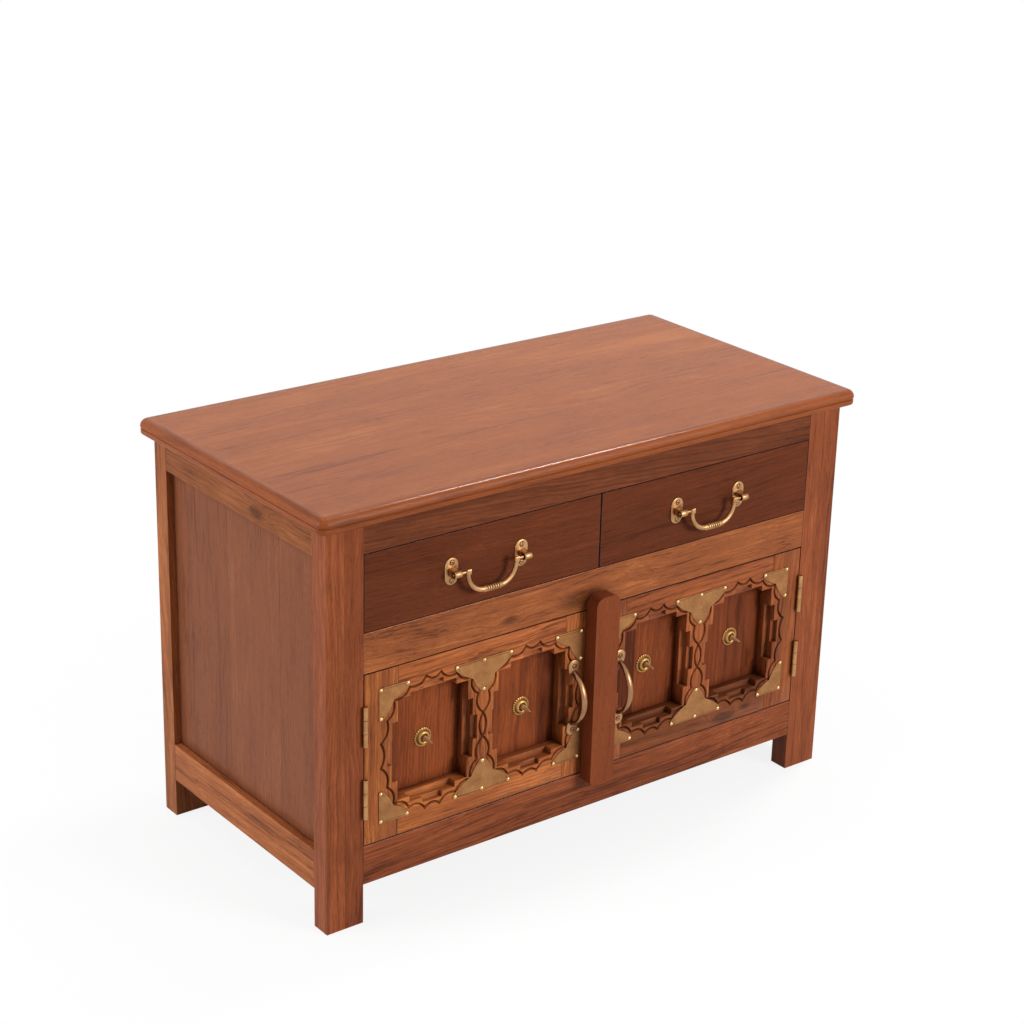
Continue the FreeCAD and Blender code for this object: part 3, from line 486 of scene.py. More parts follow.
def wood_group():
    """The grain shared by every board, as colour, height and roughness."""
    tree = bpy.data.node_groups.new("wood_grain", "ShaderNodeTree")
    grain_sockets(tree)
    given = tree.nodes.new("NodeGroupInput").outputs
    vector = drifting(tree, given["Vector"])
    layers = grain_layers(tree, vector, given["Knot"])
    colour = blend(tree, grain_marks(tree, given, layers), grain_tone(tree, given, layers), given["Deep"])
    height = weighted(tree, MIDDLE, layers, HEIGHT_WEIGHTS)
    rough = weighted(tree, WOOD_ROUGHNESS, layers, ROUGHNESS_WEIGHTS)
    results = tree.nodes.new("NodeGroupOutput").inputs
    for name, value in (("Color", colour), ("Height", height), ("Roughness", rough)):
        tree.links.new(value, results[name])
    return tree


WOOD_GRAIN = wood_group()


def strips(tree, place, joints):
    """Numbers the strips glued side by side, gives each its tone, and marks the lines between them."""
    axis, tone, edges = joints
    across = add(tree, "SeparateXYZ", {0: place}).outputs[AXES.index(axis)]
    tone_before = tone
    number = 0.0
    line = 0.0
    for edge, tone_after in edges:
        beyond = maths(tree, "GREATER_THAN", across, edge)
        number = maths(tree, "ADD", number, beyond)
        tone = maths(tree, "MULTIPLY_ADD", beyond, tone_after - tone_before, tone)
        near = maths(tree, "ABSOLUTE", maths(tree, "SUBTRACT", across, edge))
        line = maths(tree, "MAXIMUM", line, maths(tree, "LESS_THAN", near, JOINT_LINE))
        tone_before = tone_after
    return number, tone, line


def shifted(tree, mapped, number):
    """Takes each strip from another place in the log."""
    return vector_maths(tree, "MULTIPLY_ADD", number, STRIP_SHIFT, mapped)[0]


def knots(tree, place, spots, axis):
    """Swells round each knot, longer along the grain than across it."""
    squash = Vector([KNOT_SQUASH if letter == axis else 1.0 for letter in AXES])
    total = 0.0
    for centre, radius in spots:
        away = vector_maths(tree, "SUBTRACT", place, centre)[0]
        away = vector_maths(tree, "MULTIPLY", away, squash / radius)[0]
        squared = vector_maths(tree, "DOT_PRODUCT", away, away)[1]
        swell = maths(tree, "EXPONENT", maths(tree, "MULTIPLY", squared, -1.0))
        total = maths(tree, "MAXIMUM", total, swell)
    return total


def lipping(tree, place, mapped):
    """Turns the grain along the slab's two ends, up to the mitres."""
    low, high = corners("top_slab")
    off_middle = vector_maths(tree, "SUBTRACT", place, (low + high) / 2)[0]
    off_middle = vector_maths(tree, "ABSOLUTE", off_middle)[0]
    inset = vector_maths(tree, "SUBTRACT", (high - low) / 2, off_middle)[0]
    from_end, from_front = add(tree, "SeparateXYZ", {0: inset}).outputs[:2]
    at_end = maths(tree, "LESS_THAN", from_end, from_front)
    turn = {"Vector": place, "Rotation": GRAIN_TURNS["y"].to_euler()}
    turned = add(tree, "Mapping", turn).outputs[0]
    return add(tree, "Mix", {0: at_end, 4: mapped, 5: turned}, data_type="VECTOR").outputs[1]


def dulled(tree, rough):
    """Keeps the polish on the slab's nose where hands rub it, on top, and dulls it below."""
    normal = add(tree, "NewGeometry", {}).outputs["Normal"]
    upward = add(tree, "SeparateXYZ", {0: normal}).outputs["Z"]
    below = rise(tree, upward, *LIP_DULLS)
    return maths(tree, "MULTIPLY_ADD", below, LIP_DULLNESS, rough)


def cut_from_log(tree, place, axis, centre, chance):
    """Turns a board's own place into a place in the log, with the grain along the first axis."""
    tilt = Matrix.Rotation(chance.uniform(-LOG_TILT, LOG_TILT), 3, "Y")
    skew = Matrix.Rotation(chance.uniform(-LOG_SKEW, LOG_SKEW), 3, "Z")
    turn = tilt @ skew @ GRAIN_TURNS[axis]
    along = chance.uniform(-LOG_REACH, LOG_REACH)
    beside = chance.uniform(-PITH_BESIDE, PITH_BESIDE)
    behind = chance.uniform(*PITH_BEHIND)
    start = Vector((along, beside, behind)) - turn @ Vector(centre)
    return add(tree, "Mapping",
               {"Vector": place, "Location": start, "Rotation": turn.to_euler()}).outputs[0]


def crevices(tree, reach):
    """Goes up to 1 in corners, gaps and hollows: where brass tarnishes and dirt gathers, and where shade
    falls, which on wood is painted shade.
    """
    sky = add(tree, "AmbientOcclusion", {"Distance": reach}, samples=CREVICE_SAMPLES)
    return maths(tree, "SUBTRACT", 1.0, sky.outputs["AO"])


def tone_colours(tone, gain):
    """A tone's colours as the shared grain takes them."""
    light, body, dark = (srgb(colour, gain) for colour in TONES[tone])
    deep = srgb(TONES[tone][-1], gain * DEEP_GAIN)
    return {"Light": light, "Body": body, "Dark": dark, "Deep": deep}


def wood(name, tone, axis, centre, rings=0.3, streaks=0.3, contrast=1.0, joints=None, spots=(), gain=1.0,
         grime=0.0, sheen=None, polish=0.0, bump=WOOD_BUMP, lipped=False, log=None):
    """A board's own wood: the shared grain, cut from its own place in the log."""
    material, tree, shader = new_material(name)
    shader.inputs["Specular IOR Level"].default_value = SHEEN[tone] if sheen is None else sheen
    place = place_on_object(tree)
    mapped = cut_from_log(tree, place, axis, centre, random.Random(log or name))
    inputs = {**tone_colours(tone, gain), "Rings": rings, "Streaks": streaks, "Contrast": contrast}
    line = None
    if joints:
        number, inputs["Tone"], line = strips(tree, place, joints)
        mapped = shifted(tree, mapped, number)
    if lipped:
        mapped = lipping(tree, place, mapped)
        inputs["Tone"] = LIP_TONE
        line = None
    if spots:
        inputs["Knot"] = knots(tree, place, spots, axis)
    # Darkening in corners and gaps: partly dirt, partly painted shade.
    if grime:
        inputs["Grime"] = maths(tree, "MULTIPLY", crevices(tree, GRIME_AND_SHADE_REACH), grime)
    inputs["Vector"] = mapped
    grain = add(tree, "Group", inputs, node_tree=WOOD_GRAIN).outputs
    colour = grain["Color"]
    if line:
        colour = blend(tree, maths(tree, "MULTIPLY", line, JOINT_DARKNESS), colour, inputs["Deep"])
    rough = maths(tree, "SUBTRACT", grain["Roughness"], polish)
    if lipped:
        rough = dulled(tree, rough)
    relief = {"Height": grain["Height"], "Strength": bump, "Distance": WOOD_BUMP_DEPTH}
    wire(tree, shader, colour, rough, relief)
    return material


def edge_wear_light_and_shade(tone, axis):
    """The wood of edges, made once for each tone and direction of grain: wear and painted highlight where
    lighter, painted shade in the gaps where darker, with dirt and painted shade in corners.
    """
    name = f"{tone}_worn_{axis}"
    made = bpy.data.materials.get(name)
    return made or wood(name, tone, axis, ORIGIN, gain=EDGE_GAIN.get(tone, EDGE_WEAR_AND_HIGHLIGHT_GAIN), **EDGE_GLOSS_DIRT_AND_SHADE)


def brass(name, bright, tarnished, roughness, tarnish, metal=1.0):
    """Brass with mottled tarnish, fine scratches and uneven polish; a lacquered one is less metallic, and the
    spike's pale, barely metallic brass is a painted highlight.
    """
    material, tree, shader = new_material(name)
    shader.inputs["Metallic"].default_value = metal
    place = place_on_object(tree)
    layers = {
        "mottle": even_noise(tree, place, *MOTTLE_NOISE),
        "specks": even_noise(tree, place, *SPECK_NOISE),
        "scratches": stretched_noise(tree, place, *SCRATCH_NOISE),
    }
    patina = weighted(tree, tarnish, layers, PATINA_WEIGHTS)
    patina = maths(tree, "ADD", patina, crevices(tree, TARNISH_REACH))
    patina = add(tree, "Clamp", {0: patina}).outputs[0]
    colour = blend(tree, patina, srgb(bright), srgb(tarnished))
    rough = weighted(tree, roughness, layers, BRASS_ROUGHNESS_WEIGHTS)
    height = weighted(tree, MIDDLE, layers, BRASS_HEIGHT_WEIGHTS)
    relief = {"Height": height, "Strength": BRASS_BUMP, "Distance": BRASS_BUMP_DEPTH}
    wire(tree, shader, colour, rough, relief)
    return material


ANTIQUE = brass("antique_brass_look", (174, 123, 77), (120, 79, 47), roughness=0.5, tarnish=0.45)
STUD = brass("stud_brass_look", (210, 158, 90), (120, 80, 40), roughness=0.36, tarnish=0.35, metal=0.8)
# Pale, barely metallic brass on the spikes: painted highlight.
SPIKE_PAINTED_HIGHLIGHT = brass("spike_brass_look", (238, 198, 142), (180, 132, 84), roughness=0.36, tarnish=0.25, metal=0.3)
BOW = brass("bow_brass_look", (176, 130, 94), (112, 74, 46), roughness=0.3, tarnish=0.38)
BAIL = brass("bail_brass_look", (203, 155, 106), (132, 90, 55), roughness=0.36, tarnish=0.42, metal=0.85)
# Dark brass on the screws' seats: painted shade in the slots and round the heads.
SEAT_SHADE = brass("screw_seat_look", (92, 60, 36), (40, 24, 14), roughness=0.5, tarnish=0.6)
NAIL = brass("nail_brass_look", (226, 188, 128), (170, 122, 74), roughness=0.28, tarnish=0.35)
HINGE = brass("hinge_brass_look", (204, 156, 104), (150, 104, 68), roughness=0.42, tarnish=0.5)
# Near-black wood in the carved grooves: painted shade.
GROOVE_SHADE = wood("groove_look", "left_door", "x", ORIGIN, gain=GROOVE_SHADE_GAIN)


def corners(name):
    """The low and the high corner of a CAD node's box."""
    low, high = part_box(name)
    return Vector(low), Vector(high)


def middle(name):
    """The centre of a CAD node's box."""
    low, high = corners(name)
    return (low + high) / 2


def front_of(name):
    """Where along y a CAD node's front lies."""
    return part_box(name)[0][1]


def stud_centres(side):
    """Where along x the two studs of a door stand."""
    low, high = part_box(side + "_door_studs")
    radius = (high[2] - low[2]) / 2
    return low[0] + radius, high[0] - radius


def dress(name, materials, width):
    """Gives a CAD node its materials and rounds its edges; the last material takes the rounds."""
    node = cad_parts[name]
    node.data.materials.clear()
    for material in materials:
        node.data.materials.append(material)
    node.modifiers.new("weld", "WELD").merge_threshold = WELD
    bevel = node.modifiers.new("edge_round", "BEVEL")
    bevel.width = width
    bevel.segments = ROUND_SEGMENTS
    bevel.limit_method = "ANGLE"
    bevel.angle_limit = EDGE_ANGLE
    bevel.material = len(materials) - 1
    bevel.use_clamp_overlap = True
    node.modifiers.new("flat_faces", "WEIGHTED_NORMAL").weight = FULL_FACE_WEIGHT


def board(name, tone, axis, **grain):
    """Dresses one CAD board in its own wood."""
    look = wood(name + "_look", tone, axis, middle(name), **grain)
    dress(name, (look, edge_wear_light_and_shade(tone, axis)), EDGE_ROUND)


def dress_carcass():
    """Rails of the front and back, the back, and inner parts."""
    board("top_dowels", "inner", "z")
    # The top rail's wood is darkened well below its tone: partly darker wood, partly painted shade under the
    # slab's overhang
    board("front_top_rail", "post", "x", rings=0.5, streaks=0.25, contrast=0.75, gain=0.58)
    board("front_middle_rail", "rail", "x", streaks=0.15, contrast=0.85, grime=0.9, spots=MIDDLE_RAIL_KNOTS)
    board("front_bottom_rail", "post", "x", rings=0.5, streaks=0.7)
    for name in ("back_bottom_rail", "back_runner_rail", "back_top_rail"):
        board(name, "post", "x")
    board("back_panel", "inner", "z", joints=BACK_STRIPS)
    board("cupboard_floor", "inner", "x", joints=FLOOR_STRIPS)
    board("drawer_runners", "inner", "y")
    board("drawer_divider", "inner", "y")


def dress_sides():
    """Posts, and the rails and panels between them."""
    for side in SIDES:
        board(side + "_front_post", "post", "z", contrast=0.8, gain=FRONT_POST_GAIN[side],
              joints=FRONT_POST_STRIPS[side])
        board(side + "_back_post", "side_rail", "z")
        board(side + "_side_top_rail", "side_rail", "y", spots=SIDE_RAIL_KNOTS[side], gain=0.8)
        board(side + "_side_bottom_rail", "side_rail", "y", gain=1.25)
        board(side + "_side_panel", "side", "z", rings=0.12, streaks=0.02, contrast=0.6, grime=0.9,
              joints=SIDE_STRIPS)


def dress_drawers():
    """Drawer fronts and boxes."""
    for side in SIDES:
        board(side + "_drawer_front", "drawer", "x", rings=0.2, streaks=0.1, contrast=0.7)
        board(side + "_drawer_sides", "inner", "y")
        board(side + "_drawer_back", "inner", "x")
        board(side + "_drawer_bottom", "inner", "x", joints=DRAWER_BOTTOM_STRIPS)


def dress_doors():
    """Door panels, the batten, and the brass that keeps its CAD shape."""
    for side in SIDES:
        board(side + "_door_panels", "panel", "z", rings=0.55, streaks=0.06, contrast=0.55, grime=0.7,
              joints=PANEL_STRIPS[side])
        dress(side + "_door_plates", (ANTIQUE,), BRASS_ROUND)
        dress(side + "_door_nails", (NAIL,), BRASS_ROUND)
        dress(side + "_door_hinge_leaves", (HINGE,), BRASS_ROUND)
        dress(side + "_post_hinge_leaves", (HINGE,), BRASS_ROUND)
    dress("hinge_pins", (HINGE,), BRASS_ROUND)
    board("door_astragal", "batten", "z", rings=0.15, streaks=0.1, contrast=0.7)


def add_object(name, data):
    """Puts a new object into the scene."""
    thing = bpy.data.objects.new(name, data)
    SCENE.collection.objects.link(thing)
    return thing


def add_mesh(name, bm):
    """Puts a mesh made by code into the scene."""
    mesh = bpy.data.meshes.new(name)
    bm.to_mesh(mesh)
    bm.free()
    return add_object(name, mesh)


def settle(piece, body, materials, node):
    """Gives a finished piece its smooth shading, materials and place in the frame."""
    if piece.data.has_custom_normals:
        piece.data.attributes.remove(piece.data.attributes["custom_normal"])
    piece.data.shade_smooth()
    piece.data.set_sharp_from_angle(angle=SMOOTH_ANGLE)
    for material in materials:
        piece.data.materials.append(material)
    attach(piece, body)
    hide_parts(node)


def keep_piece(name, bm, body, materials, node):
    """Makes a piece from mesh code in place of a CAD node."""
    bmesh.ops.recalc_face_normals(bm, faces=bm.faces)
    settle(add_mesh(name, bm), body, materials, node)


def skin(bm, rings, closed=False):
    """Joins rings of vertices with faces, and caps the ends unless the rings close on themselves."""
    pairs = list(zip(rings, rings[1:]))
    if closed:
        pairs.append((rings[-1], rings[0]))
    else:
        bm.faces.new(rings[0])
        bm.faces.new(rings[-1])
    for low, high in pairs:
        for index in range(len(low)):
            after = (index + 1) % len(low)
            bm.faces.new((low[index], low[after], high[after], high[index]))


def tint(bm, start, index):
    """Gives the faces made since a count another of the piece's materials."""
    for face in list(bm.faces)[start:]:
        face.material_index = index


def facing_front(x, y, z):
    """A place on the front whose own third axis points out of it."""
    return Matrix.Translation((x, y, z)) @ Matrix(((1, 0, 0), (0, 0, -1), (0, 1, 0))).to_4x4()


def facing_side(x, y, z):
    """A place whose own third axis points along x."""
    return Matrix.Translation((x, y, z)) @ Matrix(((0, 0, 1), (1, 0, 0), (0, 1, 0))).to_4x4()


def circle(radius, segments, wide=1.0, tall=1.0):
    """Points round an oval."""
    turns = [2 * math.pi * step / segments for step in range(segments)]
    return [(radius * wide * math.cos(turn), radius * tall * math.sin(turn)) for turn in turns]


def arc(radius, first, extent, steps, x=0.0, y=0.0):
    """Points along an arc about a centre, both ends included."""
    turns = [first + extent * step / steps for step in range(steps + 1)]
    return [(x + radius * math.cos(turn), y + radius * math.sin(turn)) for turn in turns]


def half_round(turns):
    """Rises and falls as a half circle within each whole turn."""
    across = 2 * (turns % 1) - 1
    return math.sqrt(max(0.0, 1 - across * across))


def layered(bm, place, outlines, closed=False):
    """Skins outlines of equal count, each at its own height over a place."""
    rings = []
    for height, outline in outlines:
        rings.append([bm.verts.new(place @ Vector((x, y, height))) for x, y in outline])
    skin(bm, rings, closed)


def lathe(bm, profile, place):
    """Turns a profile of radius and height about the third axis of a place."""
    layered(bm, place, [(height, circle(radius, SECTION_SEGMENTS)) for radius, height in profile])


def sweep(bm, path, sections, side):
    """Skins oval sections along a path: half sizes along the side direction and across it."""
    rings = []
    last = len(path) - 1
    for index, (point, (width, depth)) in enumerate(zip(path, sections)):
        ahead = path[min(index + 1, last)] - path[max(index - 1, 0)]
        across = ahead.cross(side).normalized()
        outline = circle(1.0, SECTION_SEGMENTS, width, depth)
        rings.append([bm.verts.new(point + side * x + across * y) for x, y in outline])
    skin(bm, rings)


def squarish(reach):
    """Points round a square with well-rounded corners."""
    points = []
    for x, y in circle(1.0, SECTION_SEGMENTS):
        fullness = abs(x) ** BLOCK_SQUARENESS + abs(y) ** BLOCK_SQUARENESS
        stretch = reach * fullness ** (-1 / BLOCK_SQUARENESS)
        points.append((stretch * x, stretch * y))
    return points


def bail_block(bm, place):
    """The small block with rounded edges at an end of a bail."""
    half = BAIL_BLOCK
    inner = half - BAIL_BLOCK_EDGE
    lines = ((-half, inner), (-inner, half), (inner, half), (half, inner))
    layered(bm, place, [(height, squarish(reach)) for height, reach in lines])


def screw(bm, place, turn):
    """A slotted screw head: a low seat, dark as painted shade in the slot and round the head, with two domed
    halves either side of the slot.
    """
    faces_before = len(bm.faces)
    lathe(bm, SEAT_PROFILE, place)
    tint(bm, faces_before, SEAT_SHADE_MATERIAL)
    turned = place @ Matrix.Rotation(turn, 4, "Z")
    first = math.asin(SCREW_SLOT / SCREW_RADIUS)
    for flip in (1, -1):
        outlines = []
        for reach, height in SCREW_DOME:
            half = arc(SCREW_RADIUS * reach, first, math.pi - 2 * first, SCREW_STEPS)
            outlines.append((SCREW_HEIGHT * height, [(x, flip * max(y, SCREW_SLOT)) for x, y in half]))
        layered(bm, turned, outlines)


def slab_outline(half, inset):
    """A rectangle with rounded corners, drawn in by an inset."""
    radius = max(SLAB_CORNER - inset, SLAB_CORNER_LEAST)
    inner_x = half.x - inset - radius
    inner_y = half.y - inset - radius
    points = []
    for index, (x, y) in enumerate(((1, 1), (-1, 1), (-1, -1), (1, -1))):
        points += arc(radius, index * math.pi / 2, math.pi / 2, SLAB_CORNER_STEPS, x * inner_x, y * inner_y)
    return points


def slab_lines(height):
    """How far in and how high each line of the slab's edge lies, from its underside to its lip."""
    moulding = [(inset * MM, up * MM) for inset, up in SLAB_MOULDING]
    nose = arc(SLAB_NOSE, math.pi, -math.pi / 2, SLAB_NOSE_STEPS, SLAB_NOSE, height - SLAB_NOSE)
    return moulding + nose + [(LIP_WIDTH, height)]


def make_slab():
    """The top: a nose that rounds over, a quirk under it, and a band that rounds under."""
    low, high = corners("top_slab")
    half = (high - low) / 2
    centre = middle("top_slab")
    bm = bmesh.new()
    place = Matrix.Translation((centre.x, centre.y, low.z))
    layered(bm, place, [(up, slab_outline(half, inset)) for inset, up in slab_lines(high.z - low.z)])
    tint(bm, SLAB_CAPS, LIP_MATERIAL)
    grain = {"rings": 0.4, "streaks": 0.03, "contrast": 0.65, "joints": TOP_STRIPS}
    look = wood("top_slab_look", "top", "x", centre, **grain)
    lip = wood("top_slab_lip_look", "lip", "x", centre, polish=LIP_POLISH, bump=LIP_BUMP, lipped=True,
               log=look.name, **grain)
    keep_piece("top_slab_moulded", bm, "cabinet", (look, lip), "top_slab")


def ring_cusps(reach):
    """The ring's outward points about its centre; those that reach the muntin's middle lie on it."""
    quarter = [Vector((x * MM, z * MM)) for x, z in RING_POINTS]
    half = quarter + [Vector((p.x, -p.y)) for p in reversed(quarter)]
    cusps = half + [-p for p in half]
    for cusp in cusps:
        if cusp.x * reach > 0 and abs(cusp.x) > abs(reach) - RING_MEETS:
            cusp.x = reach
    return cusps


def ring_outline(centre_x, centre_z, door_x):
    """The scalloped ring's points: arcs that swell inward between outward cusps."""
    cusps = ring_cusps(door_x - centre_x)
    points = []
    for first, second in zip(cusps, cusps[1:] + cusps[:1]):
        chord = second - first
        inward = Vector((chord.y, -chord.x)).normalized()
        for step in range(RING_STEPS):
            along = step / RING_STEPS
            swell = 4 * along * (1 - along) * RING_BULGE
            points.append(first + chord * along + inward * swell + Vector((centre_x, centre_z)))
    return points


def groove_cutter(outline, face_y):
    """A closed V-shaped bar along an outline in the face, standing a little above it."""
    half = (GROOVE_DEPTH + GROOVE_ABOVE) / GROOVE_DEPTH * GROOVE_WIDTH / 2
    section = ((-half, -GROOVE_ABOVE), (half, -GROOVE_ABOVE), (0, GROOVE_DEPTH))
    bm = bmesh.new()
    rings = []
    for index, point in enumerate(outline):
        before = (point - outline[index - 1]).normalized()
        after = (outline[(index + 1) % len(outline)] - point).normalized()
        mean = (before + after).normalized()
        normal = Vector((mean.y, -mean.x))
        stretch = 1 / max(mean.dot(before), 1 / MITRE_LIMIT)
        ring = []
        for offset, depth in section:
            flat = point + normal * (offset * stretch)
            ring.append(bm.verts.new((flat.x, face_y + depth, flat.y)))
        rings.append(ring)
    skin(bm, rings, closed=True)
    bmesh.ops.recalc_face_normals(bm, faces=bm.faces)
    tint(bm, 0, GROOVE_MATERIAL)
    return add_mesh("groove_cutter", bm)


def rounded_copy(node):
    """A copy of a CAD board with its long sharp edges rounded."""
    bm = bmesh.new()
    bm.from_mesh(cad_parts[node].data)
    bmesh.ops.remove_doubles(bm, verts=bm.verts, dist=WELD)
    sharp = [edge for edge in bm.edges
             if edge.calc_face_angle(0) > EDGE_ANGLE and edge.calc_length() > SHORTEST_ROUNDED]
    bmesh.ops.bevel(bm, geom=sharp, offset=CARVED_ROUND, segments=ROUND_SEGMENTS, profile=ROUND_PROFILE,
                    affect="EDGES", clamp_overlap=True, material=EDGE_WEAR_LIGHT_AND_SHADE_MATERIAL)
    return add_mesh(node + "_blank", bm)


def carve(node, cutters):
    """The mesh of a CAD board with the grooves cut into it."""
    blank = rounded_copy(node)
    for cutter in cutters:
        cut = blank.modifiers.new("groove", "BOOLEAN")
        cut.operation = "DIFFERENCE"
        cut.solver = "EXACT"
        cut.object = cutter
    bpy.context.view_layer.update()
    graph = bpy.context.evaluated_depsgraph_get()
    mesh = bpy.data.meshes.new_from_object(blank.evaluated_get(graph))
    bpy.data.objects.remove(blank)
    mesh.materials.clear()
    return mesh


def carve_door(side):
    """One door's scalloped rings, cut through its stiles, rails and muntin."""
    muntin = side + "_door_muntin"
    door = middle(muntin)
    face_y = front_of(muntin)
    outlines = [ring_outline(centre_x, door.z, door.x) for centre_x in stud_centres(side)]
    cutters = [groove_cutter(outline, face_y) for outline in outlines]
    tone = side + "_door"
    for part, (axis, *gains) in DOOR_PARTS.items():
        node = f"{side}_door_{part}"
        spots = [((x, face_y, z), radius) for x, z, radius in DOOR_KNOTS.get(node, ())]
        look = wood(node + "_look", tone, axis, middle(node), streaks=0.2, contrast=0.9, grime=1.0,
                    spots=spots, gain=gains[SIDES.index(side)])
        piece = add_object(node + "_carved", carve(node, cutters))
        settle(piece, side + "_door", (look, edge_wear_light_and_shade(tone, axis), GROOVE_SHADE), node)
    for cutter in cutters:
        bpy.data.objects.remove(cutter)


def dish_outline(reach):
    """Points round the dish at a radius in mm, with round teeth where it is wide."""
    points = []
    for step, (x, y) in enumerate(circle(MM, STUD_SEGMENTS)):
        tooth = half_round(step * STUD_TEETH / STUD_SEGMENTS)
        notch = STUD_TOOTH * (1 - tooth) if reach > STUD_TOOTHED_FROM else 0
        points.append(((reach - notch) * x, (reach - notch) * y))
    return points


def rosette(bm, place):
    """A dished rosette with a toothed rim, and the spike that stands in its hollow."""
    layered(bm, place, [(height * MM, dish_outline(reach)) for reach, height in DISH_PROFILE])
    dish_faces = len(bm.faces)
    lathe(bm, [(radius * MM, height * MM) for radius, height in SPIKE_PROFILE], place)
    tint(bm, dish_faces, SPIKE_MATERIAL)


def make_studs():
    """Two rosettes on each door."""
    for side in SIDES:
        node = side + "_door_studs"
        face_y = front_of(side + "_door_panels")
        bm = bmesh.new()
        for centre_x in stud_centres(side):
            rosette(bm, facing_front(centre_x, face_y, middle(node).z))
        keep_piece(side + "_door_rosettes", bm, side + "_door", (STUD, SPIKE_PAINTED_HIGHLIGHT), node)


def pad_outline(inset, away):
    """A pad's outline drawn in by an inset: round away from the bow, cut at its corners beside it."""
    neck = PAD_NECK_HALF - inset
    length = PAD_NECK_LENGTH - inset
    corner = [(-neck, PAD_CORNER - length), (PAD_CORNER_CUT - neck, PAD_CORNER_CUT - length),
              (PAD_CORNER - neck, -length)]
    points = arc(PAD_RADIUS - inset, 0, math.pi, PAD_STEPS) + corner + [(-x, y) for x, y in reversed(corner)]
    return [(x, away * y) for x, y in points]


def bow_pads(bm, centre, face_y):
    """The two screwed pads of a bow handle."""
    for away in (1, -1):
        pad = facing_front(centre.x, face_y, centre.z + away * BOW_PAD_SPACING / 2)
        faces_before = len(bm.faces)
        layered(bm, pad, [(up * PAD_THICKNESS, pad_outline(inset * PAD_RADIUS, away))
                          for up, inset in PAD_LAYERS])
        tint(bm, faces_before, PAD_MATERIAL)
        screw(bm, pad @ Matrix.Translation((0, 0, PAD_THICKNESS)), PAD_SCREW_TURN * away)


def bow_strap(bm, centre, face_y):
    """The strap of a bow handle, an arc that swells to the middle."""
    height = BOW_REACH - PAD_THICKNESS / 2
    radius = ((BOW_SPAN / 2) ** 2 + height ** 2) / (2 * height)
    half_turn = math.asin(BOW_SPAN / 2 / radius)
    line = arc(radius, -half_turn, 2 * half_turn, BOW_STEPS, BOW_REACH - radius)
    path = [Vector((centre.x, face_y - out, centre.z + up)) for out, up in line]
    swells = [math.sin(math.pi * step / BOW_STEPS) for step in range(BOW_STEPS + 1)]
    sections = [BOW_END.lerp(BOW_MIDDLE, swell) for swell in swells]
    sweep(bm, path, sections, Vector((1, 0, 0)))


def make_bows():
    """Bow handles: a strap arched between two pads."""
    for side in SIDES:
        node = side + "_door_handle"
        centre = middle(node)
        face_y = front_of(side + "_door_meeting_stile")
        bm = bmesh.new()
        bow_pads(bm, centre, face_y)
        bow_strap(bm, centre, face_y)
        keep_piece(side + "_door_bow", bm, side + "_door", (BOW, SEAT_SHADE, BAIL), node)


def bail_path():
    """The bail's centre line from the left block to the right, about its pivot."""
    half = BAIL_HALF_SPAN - BAIL_CORNER
    count = GRIP_RING_STEPS * GRIP_RINGS
    points = [(-BAIL_HALF_SPAN, 0)]
    points += arc(BAIL_CORNER, math.pi, math.pi / 2, BAIL_CORNER_STEPS, -half, BAIL_CORNER - BAIL_DROP)
    points += [(-half + half * step / count, -BAIL_DROP) for step in range(1, count + 1)]
    points += [(-x, z) for x, z in reversed(points[:-1])]
    return [Vector((x, 0, z)) for x, z in points]


def bail_radius(point):
    """The bail's thickness: slim at the blocks, fuller towards the grip, turned into rings along it."""
    off_middle = abs(point.x)
    if off_middle < GRIP_LENGTH / 2:
        ring = half_round((off_middle / GRIP_LENGTH + 0.5) * GRIP_RINGS)
        return GRIP_RADIUS - GRIP_GROOVE * (1 - ring)
    share = (BAIL_HALF_SPAN - off_middle) / (BAIL_HALF_SPAN - GRIP_LENGTH / 2)
    return BAIL_BAR_END + (BAIL_BAR_MIDDLE - BAIL_BAR_END) * share


def make_bails():
    """Bails: a tapered bar with a ringed grip, hung on pins from end blocks."""
    path = bail_path()
    sections = [(bail_radius(point),) * 2 for point in path]
    length = BAIL_PIN_END - BAIL_HALF_SPAN
    for side in SIDES:
        node = side + "_bail"
        pivot = middle(node)
        pivot.z = corners(node)[1].z - BAIL_BLOCK
        bm = bmesh.new()
        sweep(bm, [pivot + point for point in path], sections, Vector((0, 1, 0)))
        for end in (-1, 1):
            block = facing_side(*(pivot + Vector((end * BAIL_HALF_SPAN, 0, 0))))
            bail_block(bm, block)
            pin = ((BAIL_PIN_RADIUS, 0), (BAIL_PIN_RADIUS, end * (length - BAIL_PIN_CHAMFER)),
                   (BAIL_PIN_TIP, end * length))
            lathe(bm, pin, block)
        keep_piece(side + "_bail_turned", bm, side + "_bail", (BAIL,), node)


def stadium(inset):
    """A bail plate's outline, straight-sided with half-round ends, drawn in by an inset."""
    radius = PLATE_WIDTH / 2 - inset
    straight = (PLATE_HEIGHT - PLATE_WIDTH) / 2
    upper = arc(radius, 0, math.pi, PLATE_STEPS, y=straight)
    return upper + arc(radius, math.pi, math.pi, PLATE_STEPS, y=-straight)


def boss_outline(reach):
    """The outside of a boss about its bore: round in front, square back to the plate."""
    stem = PIVOT_REACH - BOSS_SUNK
    points = []
    for back, up in circle(1.0, BOSS_SEGMENTS, wide=-1.0):
        length = BOSS_RADIUS
        if back > 0:
            length = 1 / max(abs(up) / BOSS_RADIUS, back / stem)
        points.append((length * reach * back, length * reach * up))
    return points


